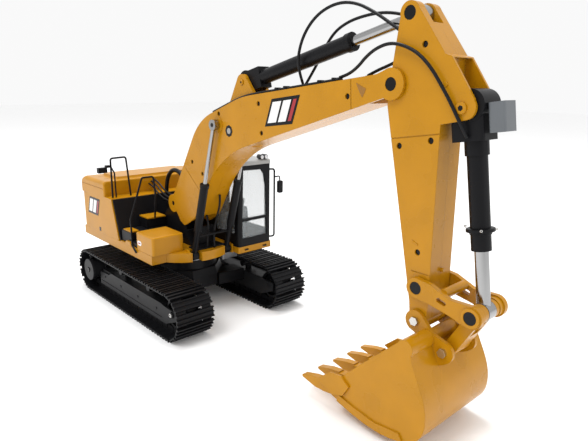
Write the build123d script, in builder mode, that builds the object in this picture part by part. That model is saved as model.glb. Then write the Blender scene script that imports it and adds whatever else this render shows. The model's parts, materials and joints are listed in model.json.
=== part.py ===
from build123d import *
import os
from math import atan2, cos, degrees, hypot, pi, radians, sin, tan

# Toy crawler excavator, about 1:16, in millimetres.
# +X is forward, +Y is the machine's left (the cab side), +Z is up.
# The origin is on the ground, on the axis that the upper structure turns about.

# ---------------------------------------------------------------- driving dimensions
ARM_Y = -5.0  # plane of the boom, stick and bucket
RUN = 0.05  # radial clearance of a pin or shaft that turns in its hole

# pins of the working arm, as (x, z) in the arm's plane
FOOT = (10.0, 139.0)  # boom foot
LIFT_BASE = (67.0, 80.5)  # lower eye of the boom cylinders
LIFT_EYE = (117.0, 249.5)  # rod eye of the boom cylinders
ELBOW = (359.0, 298.0)  # boom to stick
CROWD_BASE = (153.0, 297.0)  # lower eye of the stick cylinder
CROWD_EYE = (371.0, 352.0)  # rod eye of the stick cylinder
CURL_BASE = (425.0, 282.0)  # upper eye of the bucket cylinder
LINK_PIN = (398.0, 134.0)  # side links to stick
CURL_EYE = (449.5, 124.5)  # rod eye of the bucket cylinder, side links and bucket link
BUCKET_PIN = (399.0, 104.5)  # stick to bucket
BUCKET_LINK_PIN = (427.5, 86.0)  # bucket link to bucket

# tracks
TRACK_Y = 74.5
SHOE_WIDTH = 50.0
AXLE_X = 109.0
AXLE_Z = 30.0
CHAIN_RADIUS = 22.6  # pitch line of the chain round the wheels
LINK_COUNT = 45
LINK_HALF_HEIGHT = 4.0
SHOE_PLATE = 1.4
GROUSER = 2.0
WHEEL_RADIUS = 18.2

# swing drive
RING_TEETH = 48
PINION_TEETH = 12
GEAR_MODULE = 1.25
RING_BOTTOM = 62.0
RING_TOP = 73.8
RING_RADIUS = 40.0
POST_RADIUS = 8.0

# upper structure
DECK_BOTTOM = 74.5
DECK_TOP = 86.5
DECK_RIGHT = -81.5
DECK_LEFT = 85.5
DECK_REAR = -150.0
DECK_FRONT = 52.0
NOSE_CENTRE = (18.0, -12.0)
NOSE_RADIUS = 60.0
CAB_RIGHT = 29.0
CAB_LEFT = 85.5
CAB_REAR = -22.0
CAB_FRONT = 83.6
CAB_FLOOR = 83.0
CAB_TOP = 192.0
LEDGE_Z = 141.0
HOOD_Z = 162.0
HOOD_FRONT = -75.0
WALL = 3.0

# arm sections
BOOM_HALF = 19.0
STICK_HALF = 15.5
LIFT_OFFSET = 25.0  # boom cylinders, each side of the arm's plane
BUCKET_HALF = 50.0
EAR_INNER = 16.0
EAR_OUTER = 19.5

os.makedirs("parts", exist_ok=True)


# ---------------------------------------------------------------- helpers
def side_plane(y):
    """A side-view workplane at y, whose extrusions run towards -Y."""
    return Plane.XZ.offset(-y)


def span(low, high):
    """Workplane and length of a side profile that fills from low to high in y."""
    return side_plane(high), high - low


def about_arm(low, high):
    """The same, counted from the arm's plane."""
    return span(ARM_Y + low, ARM_Y + high)


def distance(p, q):
    return hypot(q[0] - p[0], q[1] - p[1])


def along(p, q, length):
    """The point that lies length from p on the way to q."""
    share = length / distance(p, q)
    return (p[0] + (q[0] - p[0]) * share, p[1] + (q[1] - p[1]) * share)


def axis_plane(p, q, start, y):
    """A workplane across the line from p to q, start from p, in the plane at y."""
    origin = along(p, q, start)
    return Plane(
        origin=(origin[0], y, origin[1]),
        x_dir=(0, 1, 0),
        z_dir=(q[0] - p[0], 0, q[1] - p[1]),
    )


def save(part, name):
    part.label = name
    export_step(part, f"parts/{name}.step")


def tube(points, radius, bend):
    """A round bar along a polyline whose corners are rounded."""
    with BuildPart() as bar:
        with BuildLine() as path:
            FilletPolyline(*points, radius=bend)
        with BuildSketch(path.line ^ 0):
            Circle(radius)
        sweep(path=path.line)
    return bar.part


def mirrored(part):
    """The same piece on the other side of the machine."""
    return part.mirror(Plane.XZ)


# ---------------------------------------------------------------- tracks
def chain_place(distance_along):
    """Place on the chain's pitch line: x forward, z outward, for a run from the top rear."""
    straight = 2 * AXLE_X
    arc = pi * CHAIN_RADIUS
    s = distance_along
    if s < straight:
        return Location((s - AXLE_X, 0, AXLE_Z + CHAIN_RADIUS))
    s -= straight
    if s < arc:
        turn = s / CHAIN_RADIUS
        x = AXLE_X + CHAIN_RADIUS * sin(turn)
        z = AXLE_Z + CHAIN_RADIUS * cos(turn)
        return Location((x, 0, z), (0, degrees(turn), 0))
    s -= arc
    if s < straight:
        return Location((AXLE_X - s, 0, AXLE_Z - CHAIN_RADIUS), (0, 180, 0))
    turn = (s - straight) / CHAIN_RADIUS
    x = -AXLE_X - CHAIN_RADIUS * sin(turn)
    z = AXLE_Z - CHAIN_RADIUS * cos(turn)
    return Location((x, 0, z), (0, 180 + degrees(turn), 0))


def on_chain(y):
    """The places of all links of one chain."""
    pitch = (4 * AXLE_X + 2 * pi * CHAIN_RADIUS) / LINK_COUNT
    return [Location((0, y, 0)) * chain_place(pitch * (i + 0.5)) for i in range(LINK_COUNT)]


SHOE_HALF = 6.1
RIB = 0.7
with BuildPart() as shoe:
    with BuildSketch(side_plane(SHOE_WIDTH / 2)):
        with Locations((0, LINK_HALF_HEIGHT + SHOE_PLATE / 2)):
            Rectangle(2 * SHOE_HALF, SHOE_PLATE)
        with Locations(*[(x, LINK_HALF_HEIGHT + SHOE_PLATE) for x in (-SHOE_HALF + RIB, 0, SHOE_HALF - RIB)]):
            Rectangle(2 * RIB, GROUSER, align=(Align.CENTER, Align.MIN))
    extrude(amount=SHOE_WIDTH)

LINK_PLATE_INNER = 7.5
LINK_PLATE_OUTER = 10.5
BUSH_RADIUS = 2.6
with BuildPart() as link:
    for low, high in ((-LINK_PLATE_OUTER, -LINK_PLATE_INNER), (LINK_PLATE_INNER, LINK_PLATE_OUTER)):
        plane, length = span(low, high)
        with BuildSketch(plane):
            Polygon((-4.8, -3.8), (4.8, -3.8), (6.0, 0), (6.1, 4.0), (-6.1, 4.0), (-6.0, 0), align=None)
        extrude(amount=length)
    with BuildSketch(side_plane(LINK_PLATE_OUTER)):
        Circle(BUSH_RADIUS)
    extrude(amount=2 * LINK_PLATE_OUTER)

with BuildPart() as track_shoes_right:
    with Locations(*on_chain(-TRACK_Y)):
        add(shoe.part)
save(track_shoes_right.part, "track_shoes_right")
save(mirrored(track_shoes_right.part), "track_shoes_left")

with BuildPart() as track_links_right:
    with Locations(*on_chain(-TRACK_Y)):
        add(link.part)
save(track_links_right.part, "track_links_right")
save(mirrored(track_links_right.part), "track_links_left")

# Side frame: a top girder, two long side plates, forks round the idler and a drive housing.
PLATE_OUT = -TRACK_Y - 15.0
PLATE_IN = -TRACK_Y + 15.0
PLATE = 3.0
FRAME_LOW = 13.5
FRAME_HIGH = 37.0
IDLER_SHAFT = 4.0
HOUSING_RADIUS = 14.5
HOUSING_OUTER = -TRACK_Y + 6.5
HOUSING_INNER = -44.0
DRIVE_SHAFT = 3.0
with BuildPart() as track_frame_right:
    for low in (PLATE_OUT, PLATE_IN - PLATE):
        plane, length = span(low, low + PLATE)
        with BuildSketch(plane):
            Polygon(
                (-88, FRAME_LOW), (-88, 31), (-60, 33), (-52, 37), (84, FRAME_HIGH), (92, 35.5),
                (AXLE_X + 9, 34.5), (AXLE_X + 9, 24), (94, FRAME_LOW), align=None,
            )
        extrude(amount=length)
    with BuildSketch(Plane.XY.offset(25)):
        with Locations((2, -TRACK_Y)):
            Rectangle(172, 2 * 15 - 2 * PLATE + 0.2)
    extrude(amount=10)
    # groove along the outer plate
    with BuildSketch(side_plane(PLATE_OUT + 0.6)):
        with Locations((0, 19.5)):
            Rectangle(170, 1.2)
    extrude(amount=1, mode=Mode.SUBTRACT)
    # bores of the idler shaft
    with BuildSketch(side_plane(PLATE_IN + 1)):
        with Locations((AXLE_X, AXLE_Z)):
            Circle(IDLER_SHAFT + RUN)
    extrude(amount=40, mode=Mode.SUBTRACT)
    # drive housing behind, joined to the inner plate by an arm
    plane, length = span(HOUSING_OUTER, HOUSING_INNER)
    with BuildSketch(plane):
        with Locations((-AXLE_X, AXLE_Z)):
            Circle(HOUSING_RADIUS)
    extrude(amount=length)
    plane, length = span(PLATE_IN - PLATE, PLATE_IN + 3)
    with BuildSketch(plane):
        Polygon((-AXLE_X, 18), (-80, 16), (-80, 31), (-AXLE_X, 42), align=None)
    extrude(amount=length)
    plane, length = span(HOUSING_OUTER + 3, HOUSING_INNER + 1)
    with BuildSketch(plane):
        with Locations((-AXLE_X, AXLE_Z)):
            Circle(HOUSING_RADIUS - 2.5)
    extrude(amount=length, mode=Mode.SUBTRACT)
    plane, length = span(HOUSING_OUTER - 1, HOUSING_OUTER + 4)
    with BuildSketch(plane):
        with Locations((-AXLE_X, AXLE_Z)):
            Circle(DRIVE_SHAFT + RUN)
    extrude(amount=length, mode=Mode.SUBTRACT)
save(track_frame_right.part, "track_frame_right")
save(mirrored(track_frame_right.part), "track_frame_left")

# Rollers: seven under the girder, two carrying the top run.
ROLLER_RADIUS = 5.6
CARRIER_RADIUS = 4.2
ROLLER_Z = 11.2 + ROLLER_RADIUS + 0.1
CARRIER_Z = AXLE_Z + CHAIN_RADIUS - 3.8 - CARRIER_RADIUS - 0.1
with BuildPart() as track_rollers_right:
    plane, length = span(-TRACK_Y - 11.8, -TRACK_Y + 11.8)
    with BuildSketch(plane):
        with Locations(*[(-78 + 26.0 * i, ROLLER_Z) for i in range(7)]):
            Circle(ROLLER_RADIUS)
        with Locations((-30, CARRIER_Z), (46, CARRIER_Z)):
            Circle(CARRIER_RADIUS)
    extrude(amount=length)
    # carrier roller posts stand on the girder
    with BuildSketch(Plane.XY.offset(35)):
        with Locations((-30, -TRACK_Y), (46, -TRACK_Y)):
            Rectangle(4, 8)
    extrude(amount=CARRIER_Z - 35)
save(track_rollers_right.part, "track_rollers_right")
save(mirrored(track_rollers_right.part), "track_rollers_left")

SPROCKET_TEETH = 13
TOOTH_TIP = 19.4
TOOTH_ROOT = 15.6
HUB_RADIUS = 15.5
with BuildPart() as sprocket_right:
    plane, length = span(-TRACK_Y - 4, -TRACK_Y + 4)
    with BuildSketch(plane):
        with Locations((-AXLE_X, AXLE_Z)):
            Circle(TOOTH_ROOT)
            with PolarLocations(0, SPROCKET_TEETH):
                Polygon(
                    (TOOTH_ROOT - 1, -2.4), (TOOTH_TIP, -1.0), (TOOTH_TIP, 1.0), (TOOTH_ROOT - 1, 2.4),
                    align=None,
                )
    extrude(amount=length)
    # final drive cover, stepped, with a sunk centre
    plane, length = span(-TRACK_Y - 21, -TRACK_Y - 4)
    with BuildSketch(plane):
        with Locations((-AXLE_X, AXLE_Z)):
            Circle(HUB_RADIUS - 1.5)
    extrude(amount=length)
    plane, length = span(-TRACK_Y - 23, -TRACK_Y - 19)
    with BuildSketch(plane):
        with Locations((-AXLE_X, AXLE_Z)):
            Circle(HUB_RADIUS)
    extrude(amount=length)
    plane, length = span(-TRACK_Y - 24, -TRACK_Y - 20)
    with BuildSketch(plane):
        with Locations((-AXLE_X, AXLE_Z)):
            Circle(3.8)
    extrude(amount=length, mode=Mode.SUBTRACT)
    plane, length = span(-TRACK_Y + 4, HOUSING_INNER - 14)
    with BuildSketch(plane):
        with Locations((-AXLE_X, AXLE_Z)):
            Circle(DRIVE_SHAFT)
    extrude(amount=length)
save(sprocket_right.part, "sprocket_right")
save(mirrored(sprocket_right.part), "sprocket_left")

with BuildPart() as idler_right:
    plane, length = span(-TRACK_Y - 11, -TRACK_Y + 11)
    with BuildSketch(plane):
        with Locations((AXLE_X, AXLE_Z)):
            Circle(WHEEL_RADIUS)
    extrude(amount=length)
    for low, high in ((-12, -6), (6, 12)):
        plane, length = span(-TRACK_Y + low, -TRACK_Y + high)
        with BuildSketch(plane):
            with Locations((AXLE_X, AXLE_Z)):
                Circle(WHEEL_RADIUS - 3)
                Circle(7, mode=Mode.SUBTRACT)
        extrude(amount=length, mode=Mode.SUBTRACT)
    plane, length = span(-TRACK_Y - 5, -TRACK_Y + 5)
    with BuildSketch(plane):
        with Locations((AXLE_X, AXLE_Z)):
            Circle(TOOTH_TIP)
    extrude(amount=length)
    plane, length = span(-TRACK_Y - 16.5, -TRACK_Y + 15)
    with BuildSketch(plane):
        with Locations((AXLE_X, AXLE_Z)):
            Circle(IDLER_SHAFT)
    extrude(amount=length)
save(idler_right.part, "idler_right")
save(mirrored(idler_right.part), "idler_left")

# Geared motor of each track, in its housing. The drive shaft runs in its blind bore.
with BuildPart() as drive_motors:
    for side in (-1, 1):
        with BuildSketch(Plane.XZ.offset(side * 30)):
            with Locations((-AXLE_X, AXLE_Z)):
                Circle(9.0)
        extrude(amount=side * 14.5)
        with BuildSketch(Plane.XZ.offset(side * 44.5)):
            with Locations((-AXLE_X, AXLE_Z)):
                Circle(HOUSING_RADIUS - 2.5)
        extrude(amount=side * 20)
        with BuildSketch(Plane.XZ.offset(side * 65)):
            with Locations((-AXLE_X, AXLE_Z)):
                Circle(DRIVE_SHAFT + RUN)
        extrude(amount=-side * 8, mode=Mode.SUBTRACT)
save(drive_motors.part, "drive_motors")

# ---------------------------------------------------------------- car body and swing drive
BODY_LOW = 24.0
BODY_HIGH = 50.0
with BuildPart() as carbody:
    with BuildSketch(Plane.XY.offset(BODY_LOW)):
        RegularPolygon(50, 8, rotation=22.5)
        for x in (-42, 42):
            for side in (-1, 1):
                reach = side * (TRACK_Y - 15)
                corners = [(x * 0.45, side * 20), (x - 13, reach), (x + 13, reach), (x * 1.2, side * 20)]
                Polygon(*corners, align=None)
    extrude(amount=16)
    with BuildSketch(Plane.XY.offset(BODY_LOW + 16)):
        RegularPolygon(50, 8, rotation=22.5)
    extrude(amount=BODY_HIGH - BODY_LOW - 16, taper=14)
    with BuildSketch(Plane.XY.offset(BODY_HIGH)):
        Circle(RING_RADIUS + 2)
    extrude(amount=RING_BOTTOM - BODY_HIGH)
    # open inside from below, for the wiring
    with BuildSketch(Plane.XY.offset(BODY_LOW)):
        Circle(32)
        Circle(POST_RADIUS + 4, mode=Mode.SUBTRACT)
    extrude(amount=30, mode=Mode.SUBTRACT)
    with BuildSketch(Plane.XY.offset(BODY_LOW)):
        Circle(POST_RADIUS - 3)
    extrude(amount=RING_BOTTOM - BODY_LOW, mode=Mode.SUBTRACT)
save(carbody.part, "carbody")


def tooth(root, tip, root_width, tip_width):
    """Outline of one straight-sided gear tooth that points along +x."""
    return [(root, -root_width / 2), (tip, -tip_width / 2), (tip, tip_width / 2), (root, root_width / 2)]


PITCH_RING = GEAR_MODULE * RING_TEETH / 2
PITCH_PINION = GEAR_MODULE * PINION_TEETH / 2
SWING_Y = ARM_Y
SWING_X = -((PITCH_RING - PITCH_PINION) ** 2 - SWING_Y**2) ** 0.5
SWING_ANGLE = degrees(atan2(SWING_Y, SWING_X))
SWING_MOTOR_RADIUS = 8.5
# a ring tooth space faces the pinion's tooth on the line of centres
RING_STEP = 360 / RING_TEETH
SPACE_ANGLE = RING_STEP * (SWING_ANGLE // RING_STEP + 0.5)
MESH_ANGLE = SWING_ANGLE + (SPACE_ANGLE - SWING_ANGLE) * RING_TEETH / PINION_TEETH
ADDENDUM = 0.85
DEDENDUM = 1.5
with BuildPart() as swing_ring:
    with BuildSketch(Plane.XY.offset(RING_BOTTOM)):
        Circle(RING_RADIUS)
        Circle(PITCH_RING + DEDENDUM, mode=Mode.SUBTRACT)
        with PolarLocations(0, RING_TEETH):
            Polygon(*tooth(PITCH_RING + DEDENDUM + 0.3, PITCH_RING - ADDENDUM, 2.0, 0.8), align=None)
    extrude(amount=RING_TOP - RING_BOTTOM)
save(swing_ring.part, "swing_ring")

with BuildPart() as swing_pinion:
    with BuildSketch(Plane.XY.offset(RING_BOTTOM + 1)):
        with Locations((SWING_X, SWING_Y)):
            Circle(PITCH_PINION - DEDENDUM)
            with PolarLocations(0, PINION_TEETH, start_angle=MESH_ANGLE):
                Polygon(*tooth(PITCH_PINION - DEDENDUM - 0.3, PITCH_PINION + ADDENDUM, 2.0, 0.7), align=None)
    extrude(amount=RING_TOP - RING_BOTTOM - 1.5)
    with BuildSketch(Plane.XY.offset(RING_TOP - 1)):
        with Locations((SWING_X, SWING_Y)):
            Circle(2)
    extrude(amount=20)
save(swing_pinion.part, "swing_pinion")

POST_TOP = DECK_TOP + 1.0
with BuildPart() as centre_post:
    with BuildSketch(Plane.XY.offset(RING_BOTTOM)):
        Circle(POST_RADIUS + 3)
    extrude(amount=4)
    with BuildSketch(Plane.XY.offset(RING_BOTTOM + 4)):
        Circle(POST_RADIUS)
    extrude(amount=POST_TOP - RING_BOTTOM - 4)
    with BuildSketch(Plane.XY.offset(POST_TOP)):
        Circle(POST_RADIUS + 3)
    extrude(amount=2)
    with BuildSketch(Plane.XY.offset(RING_BOTTOM)):
        Circle(POST_RADIUS - 3)
    extrude(amount=40, mode=Mode.SUBTRACT)
save(centre_post.part, "centre_post")

# ---------------------------------------------------------------- deck of the upper structure
SLOT_HALF = 6.0
LIFT_PIN = 1.5
LIFT_YS = (ARM_Y - LIFT_OFFSET, ARM_Y + LIFT_OFFSET)
with BuildPart() as main_frame:
    with BuildSketch(Plane.XY.offset(DECK_BOTTOM)) as deck_outline:
        with Locations(((DECK_REAR + DECK_FRONT) / 2, (DECK_RIGHT + DECK_LEFT) / 2)):
            Rectangle(DECK_FRONT - DECK_REAR, DECK_LEFT - DECK_RIGHT)
        with Locations(NOSE_CENTRE):
            Circle(NOSE_RADIUS)
    extrude(amount=DECK_TOP - DECK_BOTTOM)
    with BuildSketch(Plane.XY.offset(DECK_BOTTOM)):
        offset(deck_outline.sketch, amount=-WALL)
    extrude(amount=DECK_TOP - DECK_BOTTOM - 4, mode=Mode.SUBTRACT)
    # hub on the centre post, bearing rim over the ring, ribs and lugs of the boom cylinders
    with BuildSketch(Plane.XY.offset(DECK_BOTTOM)):
        Circle(RING_RADIUS)
        Circle(RING_RADIUS - 4, mode=Mode.SUBTRACT)
        Circle(POST_RADIUS + 5)
    extrude(amount=DECK_TOP - DECK_BOTTOM)
    with BuildSketch(Plane.XY.offset(DECK_BOTTOM + 3)):
        for y in (-50, 45):
            with Locations(((DECK_REAR + CAB_REAR) / 2 - 2, y)):
                Rectangle(CAB_REAR - DECK_REAR - 10, 2)
        for x in (-120, -80, -45):
            with Locations((x, 2)):
                Rectangle(2, DECK_LEFT - DECK_RIGHT - 6)
    extrude(amount=DECK_TOP - DECK_BOTTOM - 3)
    for y in LIFT_YS:
        with BuildSketch(Plane.XY.offset(DECK_BOTTOM)):
            with Locations((61, y)):
                Rectangle(24, 2 * SLOT_HALF + 3.2)
        extrude(amount=DECK_TOP - DECK_BOTTOM)
        with BuildSketch(Plane.XY.offset(DECK_BOTTOM - 1)):
            with Locations((57, y)):
                Rectangle(60, 2 * SLOT_HALF, align=(Align.MIN, Align.CENTER))
        extrude(amount=DECK_TOP - DECK_BOTTOM + 2, mode=Mode.SUBTRACT)
    with BuildSketch(Plane.XY.offset(DECK_BOTTOM - 1)):
        Circle(POST_RADIUS + RUN)
    extrude(amount=DECK_TOP - DECK_BOTTOM + 2, mode=Mode.SUBTRACT)
    with BuildSketch(Plane.XY.offset(DECK_BOTTOM - 1)):
        with Locations((SWING_X, SWING_Y)):
            Circle(2 + RUN)
    extrude(amount=DECK_TOP - DECK_BOTTOM + 2, mode=Mode.SUBTRACT)
    # room for the cab, which stands beside the arm
    with BuildSketch(Plane.XY.offset(DECK_BOTTOM - 1)):
        with Locations((CAB_REAR - 0.3, CAB_RIGHT - 0.3)):
            Rectangle(200, 100, align=(Align.MIN, Align.MIN))
    extrude(amount=DECK_TOP - DECK_BOTTOM + 2, mode=Mode.SUBTRACT)
    # pins of the boom cylinders, in the slot walls
    for y in LIFT_YS:
        plane, length = span(y - SLOT_HALF - 1, y + SLOT_HALF + 1)
        with BuildSketch(plane):
            with Locations(LIFT_BASE):
                Circle(LIFT_PIN)
        extrude(amount=length)
    # rounded bosses beside the slots
    for low, high in ((LIFT_YS[0] - SLOT_HALF - 2.4, LIFT_YS[0] - SLOT_HALF),
                      (LIFT_YS[1] + SLOT_HALF, LIFT_YS[1] + SLOT_HALF + 2)):
        plane, length = span(low, high)
        with BuildSketch(plane):
            with Locations((DECK_FRONT + 10, 82)):
                Circle(7)
        extrude(amount=length)
    # a sunk screw in the front right edge
    with BuildSketch(Plane.YZ.offset(DECK_FRONT - 2)):
        with Locations((-46, 80.5)):
            Circle(1.8)
    extrude(amount=3, mode=Mode.SUBTRACT)
save(main_frame.part, "main_frame")

BRACKET_INNER = 10.4
BRACKET_OUTER = 15.4
FOOT_PIN = 3.0
with BuildPart() as boom_bracket:
    for low, high in ((-BRACKET_OUTER, -BRACKET_INNER), (BRACKET_INNER, BRACKET_OUTER)):
        plane, length = about_arm(low, high)
        with BuildSketch(plane):
            Polygon(
                (-32, DECK_TOP), (-26, 110), (FOOT[0] - 9.5, FOOT[1] + 3), (FOOT[0] + 8.4, FOOT[1] - 5.5),
                (30, 104), (47, DECK_TOP), align=None,
            )
            with Locations(FOOT):
                Circle(10)
        extrude(amount=length)
    plane, length = about_arm(-BRACKET_OUTER, BRACKET_OUTER)
    with BuildSketch(plane):
        Polygon((-32, DECK_TOP), (-31.3, 89.5), (-13, 89.5), (-13, DECK_TOP), align=None)
        Polygon((14, DECK_TOP), (14, 89.5), (44.5, 89.5), (47, DECK_TOP), align=None)
        Polygon((47, DECK_TOP), (30, 104), (26, 104), (42, DECK_TOP), align=None)
    extrude(amount=length)
    # room for the swing motor and for the head of the centre post
    with BuildSketch(Plane.XY.offset(DECK_TOP)):
        with Locations((SWING_X, SWING_Y)):
            Circle(SWING_MOTOR_RADIUS + 0.5)
        Circle(POST_RADIUS + 4)
    extrude(amount=4, mode=Mode.SUBTRACT)
    plane, length = about_arm(-BRACKET_OUTER - 1, BRACKET_OUTER + 1)
    with BuildSketch(plane):
        with Locations(FOOT):
            Circle(FOOT_PIN + RUN)
    extrude(amount=length, mode=Mode.SUBTRACT)
save(boom_bracket.part, "boom_bracket")

with BuildPart() as swing_motor:
    with BuildSketch(Plane.XY.offset(DECK_TOP)):
        with Locations((SWING_X, SWING_Y)):
            Circle(SWING_MOTOR_RADIUS)
    extrude(amount=15)
    with BuildSketch(Plane.XY.offset(DECK_TOP + 15)):
        with Locations((SWING_X, SWING_Y)):
            Circle(7)
    extrude(amount=12)
    with BuildSketch(Plane.XY.offset(DECK_TOP)):
        with Locations((SWING_X, SWING_Y)):
            Circle(2 + RUN)
    extrude(amount=10, mode=Mode.SUBTRACT)
save(swing_motor.part, "swing_motor")

# ---------------------------------------------------------------- casings
def body_profile(inset):
    """Side outline of the rear casing, shrunk by inset."""
    bottom = DECK_TOP - 1 if inset else DECK_TOP
    return [
        (DECK_REAR + inset, bottom), (DECK_REAR + inset, 152), (-147 + inset, 158),
        (-139 + inset * 0.4, HOOD_Z - inset), (HOOD_FRONT - inset, HOOD_Z - inset),
        (HOOD_FRONT - inset, LEDGE_Z - inset), (-54 - inset, LEDGE_Z - inset), (-38 - inset, bottom),
    ]


SIDE_LEFT = DECK_LEFT - 1
with BuildPart() as hood_shell:
    plane, length = span(DECK_RIGHT, SIDE_LEFT)
    with BuildSketch(plane):
        Polygon(*body_profile(0), align=None)
    extrude(amount=length)
    top_edges = hood_shell.edges().filter_by(Axis.X).group_by(Axis.Z)[-1]
    fillet(top_edges, 5)
    fillet(hood_shell.edges().filter_by(Axis.Y).filter_by_position(Axis.Z, HOOD_Z - 0.1, HOOD_Z + 0.1), 2)
    plane, length = span(DECK_RIGHT + WALL, SIDE_LEFT - WALL)
    with BuildSketch(plane):
        Polygon(*body_profile(WALL), align=None)
    extrude(amount=length, mode=Mode.SUBTRACT)
    # the rear wall is the counterweight's, so the casing is open there
    with BuildSketch(Plane.XY.offset(DECK_TOP)):
        with Locations((DECK_REAR - 5, (DECK_RIGHT + SIDE_LEFT) / 2)):
            Rectangle(22, SIDE_LEFT - DECK_RIGHT + 2, align=(Align.MIN, Align.CENTER))
    extrude(amount=52, mode=Mode.SUBTRACT)
    # seams of the doors in the right side, and a small latch hole
    with BuildSketch(side_plane(DECK_RIGHT + 0.5)):
        with Locations((-95.7, 92)):
            Rectangle(4, 4)
    extrude(amount=2, mode=Mode.SUBTRACT)
    with BuildSketch(side_plane(DECK_RIGHT + 0.5)):
        with Locations((-92, 151.5)):
            Rectangle(110, 0.8)
    extrude(amount=2, mode=Mode.SUBTRACT)
    # engine cover, raised on the hood
    with BuildSketch(Plane.XY.offset(HOOD_Z - 1)):
        with Locations((-108, 2)):
            RectangleRounded(48, 120, 4)
    extrude(amount=4, taper=25)
    # cover behind the cab
    with BuildSketch(Plane.XY.offset(DECK_TOP)):
        with Locations((-36, 57)):
            Rectangle(24, SIDE_LEFT - 29.5)
    extrude(amount=LEDGE_Z - DECK_TOP)
    with BuildSketch(Plane.XY.offset(DECK_TOP)):
        with Locations((-38, 57)):
            Rectangle(22, SIDE_LEFT - 35.5)
    extrude(amount=LEDGE_Z - DECK_TOP - WALL, mode=Mode.SUBTRACT)
save(hood_shell.part, "hood_shell")

with BuildPart() as counterweight:
    with BuildSketch(Plane.XY.offset(DECK_TOP)):
        with BuildLine():
            Polyline((-133.2, DECK_RIGHT + 0.1), (DECK_REAR + 6, DECK_RIGHT + 0.1))
            RadiusArc((DECK_REAR + 6, DECK_RIGHT + 0.1), (DECK_REAR, DECK_RIGHT + 6), 6)
            ThreePointArc((DECK_REAR, DECK_RIGHT + 6), (DECK_REAR - 9, 1.5), (DECK_REAR, SIDE_LEFT - 6))
            RadiusArc((DECK_REAR, SIDE_LEFT - 6), (DECK_REAR + 6, SIDE_LEFT - 0.1), 6)
            Polyline((DECK_REAR + 6, SIDE_LEFT - 0.1), (-133.2, SIDE_LEFT - 0.1), (-133.2, DECK_RIGHT + 0.1))
        make_face()
    extrude(amount=51.8)
    fillet(counterweight.faces().sort_by(Axis.Z)[0].edges().sort_by(Axis.X)[0:1], 2)
save(counterweight.part, "counterweight")

TOOL_BOX_TOP = 110.0
with BuildPart() as tool_box:
    with BuildSketch(Plane.XY.offset(DECK_TOP)):
        with Locations((33.5, -59.2)):
            Rectangle(43.5, 44)
    extrude(amount=TOOL_BOX_TOP - DECK_TOP)
    fillet(tool_box.edges().filter_by(Axis.Z), 3)
    fillet(tool_box.faces().sort_by(Axis.Z)[-1].edges(), 2)
    with BuildSketch(Plane.XY.offset(DECK_TOP)):
        with Locations((33.5, -59.2)):
            Rectangle(43.5 - 2 * WALL, 44 - 2 * WALL)
    extrude(amount=TOOL_BOX_TOP - DECK_TOP - WALL, mode=Mode.SUBTRACT)
save(tool_box.part, "tool_box")

with BuildPart() as walkway:
    # front wall of the casing, floor of the recess and two step blocks
    plane, length = span(DECK_RIGHT + 1.5, CAB_RIGHT - 1)
    with BuildSketch(plane):
        Polygon(
            (-37.6, DECK_TOP), (-53.6, LEDGE_Z - 0.5), (-50.5, LEDGE_Z - 0.5), (-34.6, 88.5), (-33, 88.5),
            (-33, DECK_TOP), align=None,
        )
    extrude(amount=length)
    plane, length = span(DECK_RIGHT + 3, ARM_Y - BRACKET_OUTER - 1.5)
    with BuildSketch(plane):
        Polygon((-33, DECK_TOP), (-33, 103), (-8, 103), (-8, 92), (10, 92), (10, DECK_TOP), align=None)
    extrude(amount=length)
    plane, length = span(-50, ARM_Y - BRACKET_OUTER - 1.5)
    with BuildSketch(plane):
        Polygon((-33, 103), (-38.5, 116), (-17, 116), (-17, 103), align=None)
    extrude(amount=length)
save(walkway.part, "walkway")

with BuildPart() as step_plates:
    plane, length = span(-49.5, ARM_Y - BRACKET_OUTER - 2)
    with BuildSketch(plane):
        Polygon((-38, 116), (-38, 117.6), (-14, 117.6), (-14, 116), align=None)
    extrude(amount=length)
    plane, length = span(DECK_RIGHT, DECK_RIGHT + 3)
    with BuildSketch(plane):
        Polygon((-32.5, DECK_TOP), (-32.5, 88), (-20, 88), (-16, 92), (-6, 92), (-2, DECK_TOP), align=None)
    extrude(amount=length)
    plane, length = span(-77.5, -66)
    with BuildSketch(plane):
        Polygon((-30, 103), (-30, 104.6), (-9, 104.6), (-9, 103), align=None)
    extrude(amount=length)
save(step_plates.part, "step_plates")

RAIL = 1.25
with BuildPart() as handrails:
    rear_hoop = [(-62, -75, LEDGE_Z), (-62, -75, 195), (-62, -53, 195.5), (-62, -48.5, LEDGE_Z + 0.15)]
    add(tube(rear_hoop, RAIL, 3))
    add(tube([(-62, -70, LEDGE_Z), (-62, -70.5, 175), (-62, -76, 186)], RAIL * 0.8, 2))
    front_hoop = [
        (14, -83, DECK_BOTTOM + 8), (4, -83, 90), (4, -83, 125), (3, -64, 176.5), (3, -48, 176.5),
        (0, -44, 150), (-12, -40, 117.6),
    ]
    add(tube(front_hoop, RAIL, 3))
    # camera and its bracket on the front hoop
    with BuildSketch(Plane.YZ.offset(-66)):
        with Locations((-79, 184.5)):
            Rectangle(6, 3)
        with Locations((-87, 180)):
            Rectangle(12, 7)
    extrude(amount=6)
save(handrails.part, "handrails")

# ---------------------------------------------------------------- cab
with BuildPart() as cab_floor:
    with BuildSketch(Plane.XY.offset(DECK_BOTTOM)):
        with Locations(((CAB_REAR + CAB_FRONT) / 2, (CAB_RIGHT + CAB_LEFT) / 2)):
            RectangleRounded(CAB_FRONT - CAB_REAR, CAB_LEFT - CAB_RIGHT, 2)
    extrude(amount=CAB_FLOOR - DECK_BOTTOM)
    with BuildSketch(Plane.YZ.offset(CAB_FRONT - 2)):
        with Locations((42, 79), (73, 79)):
            SlotOverall(7, 2)
    extrude(amount=3, mode=Mode.SUBTRACT)
save(cab_floor.part, "cab_floor")

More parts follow.
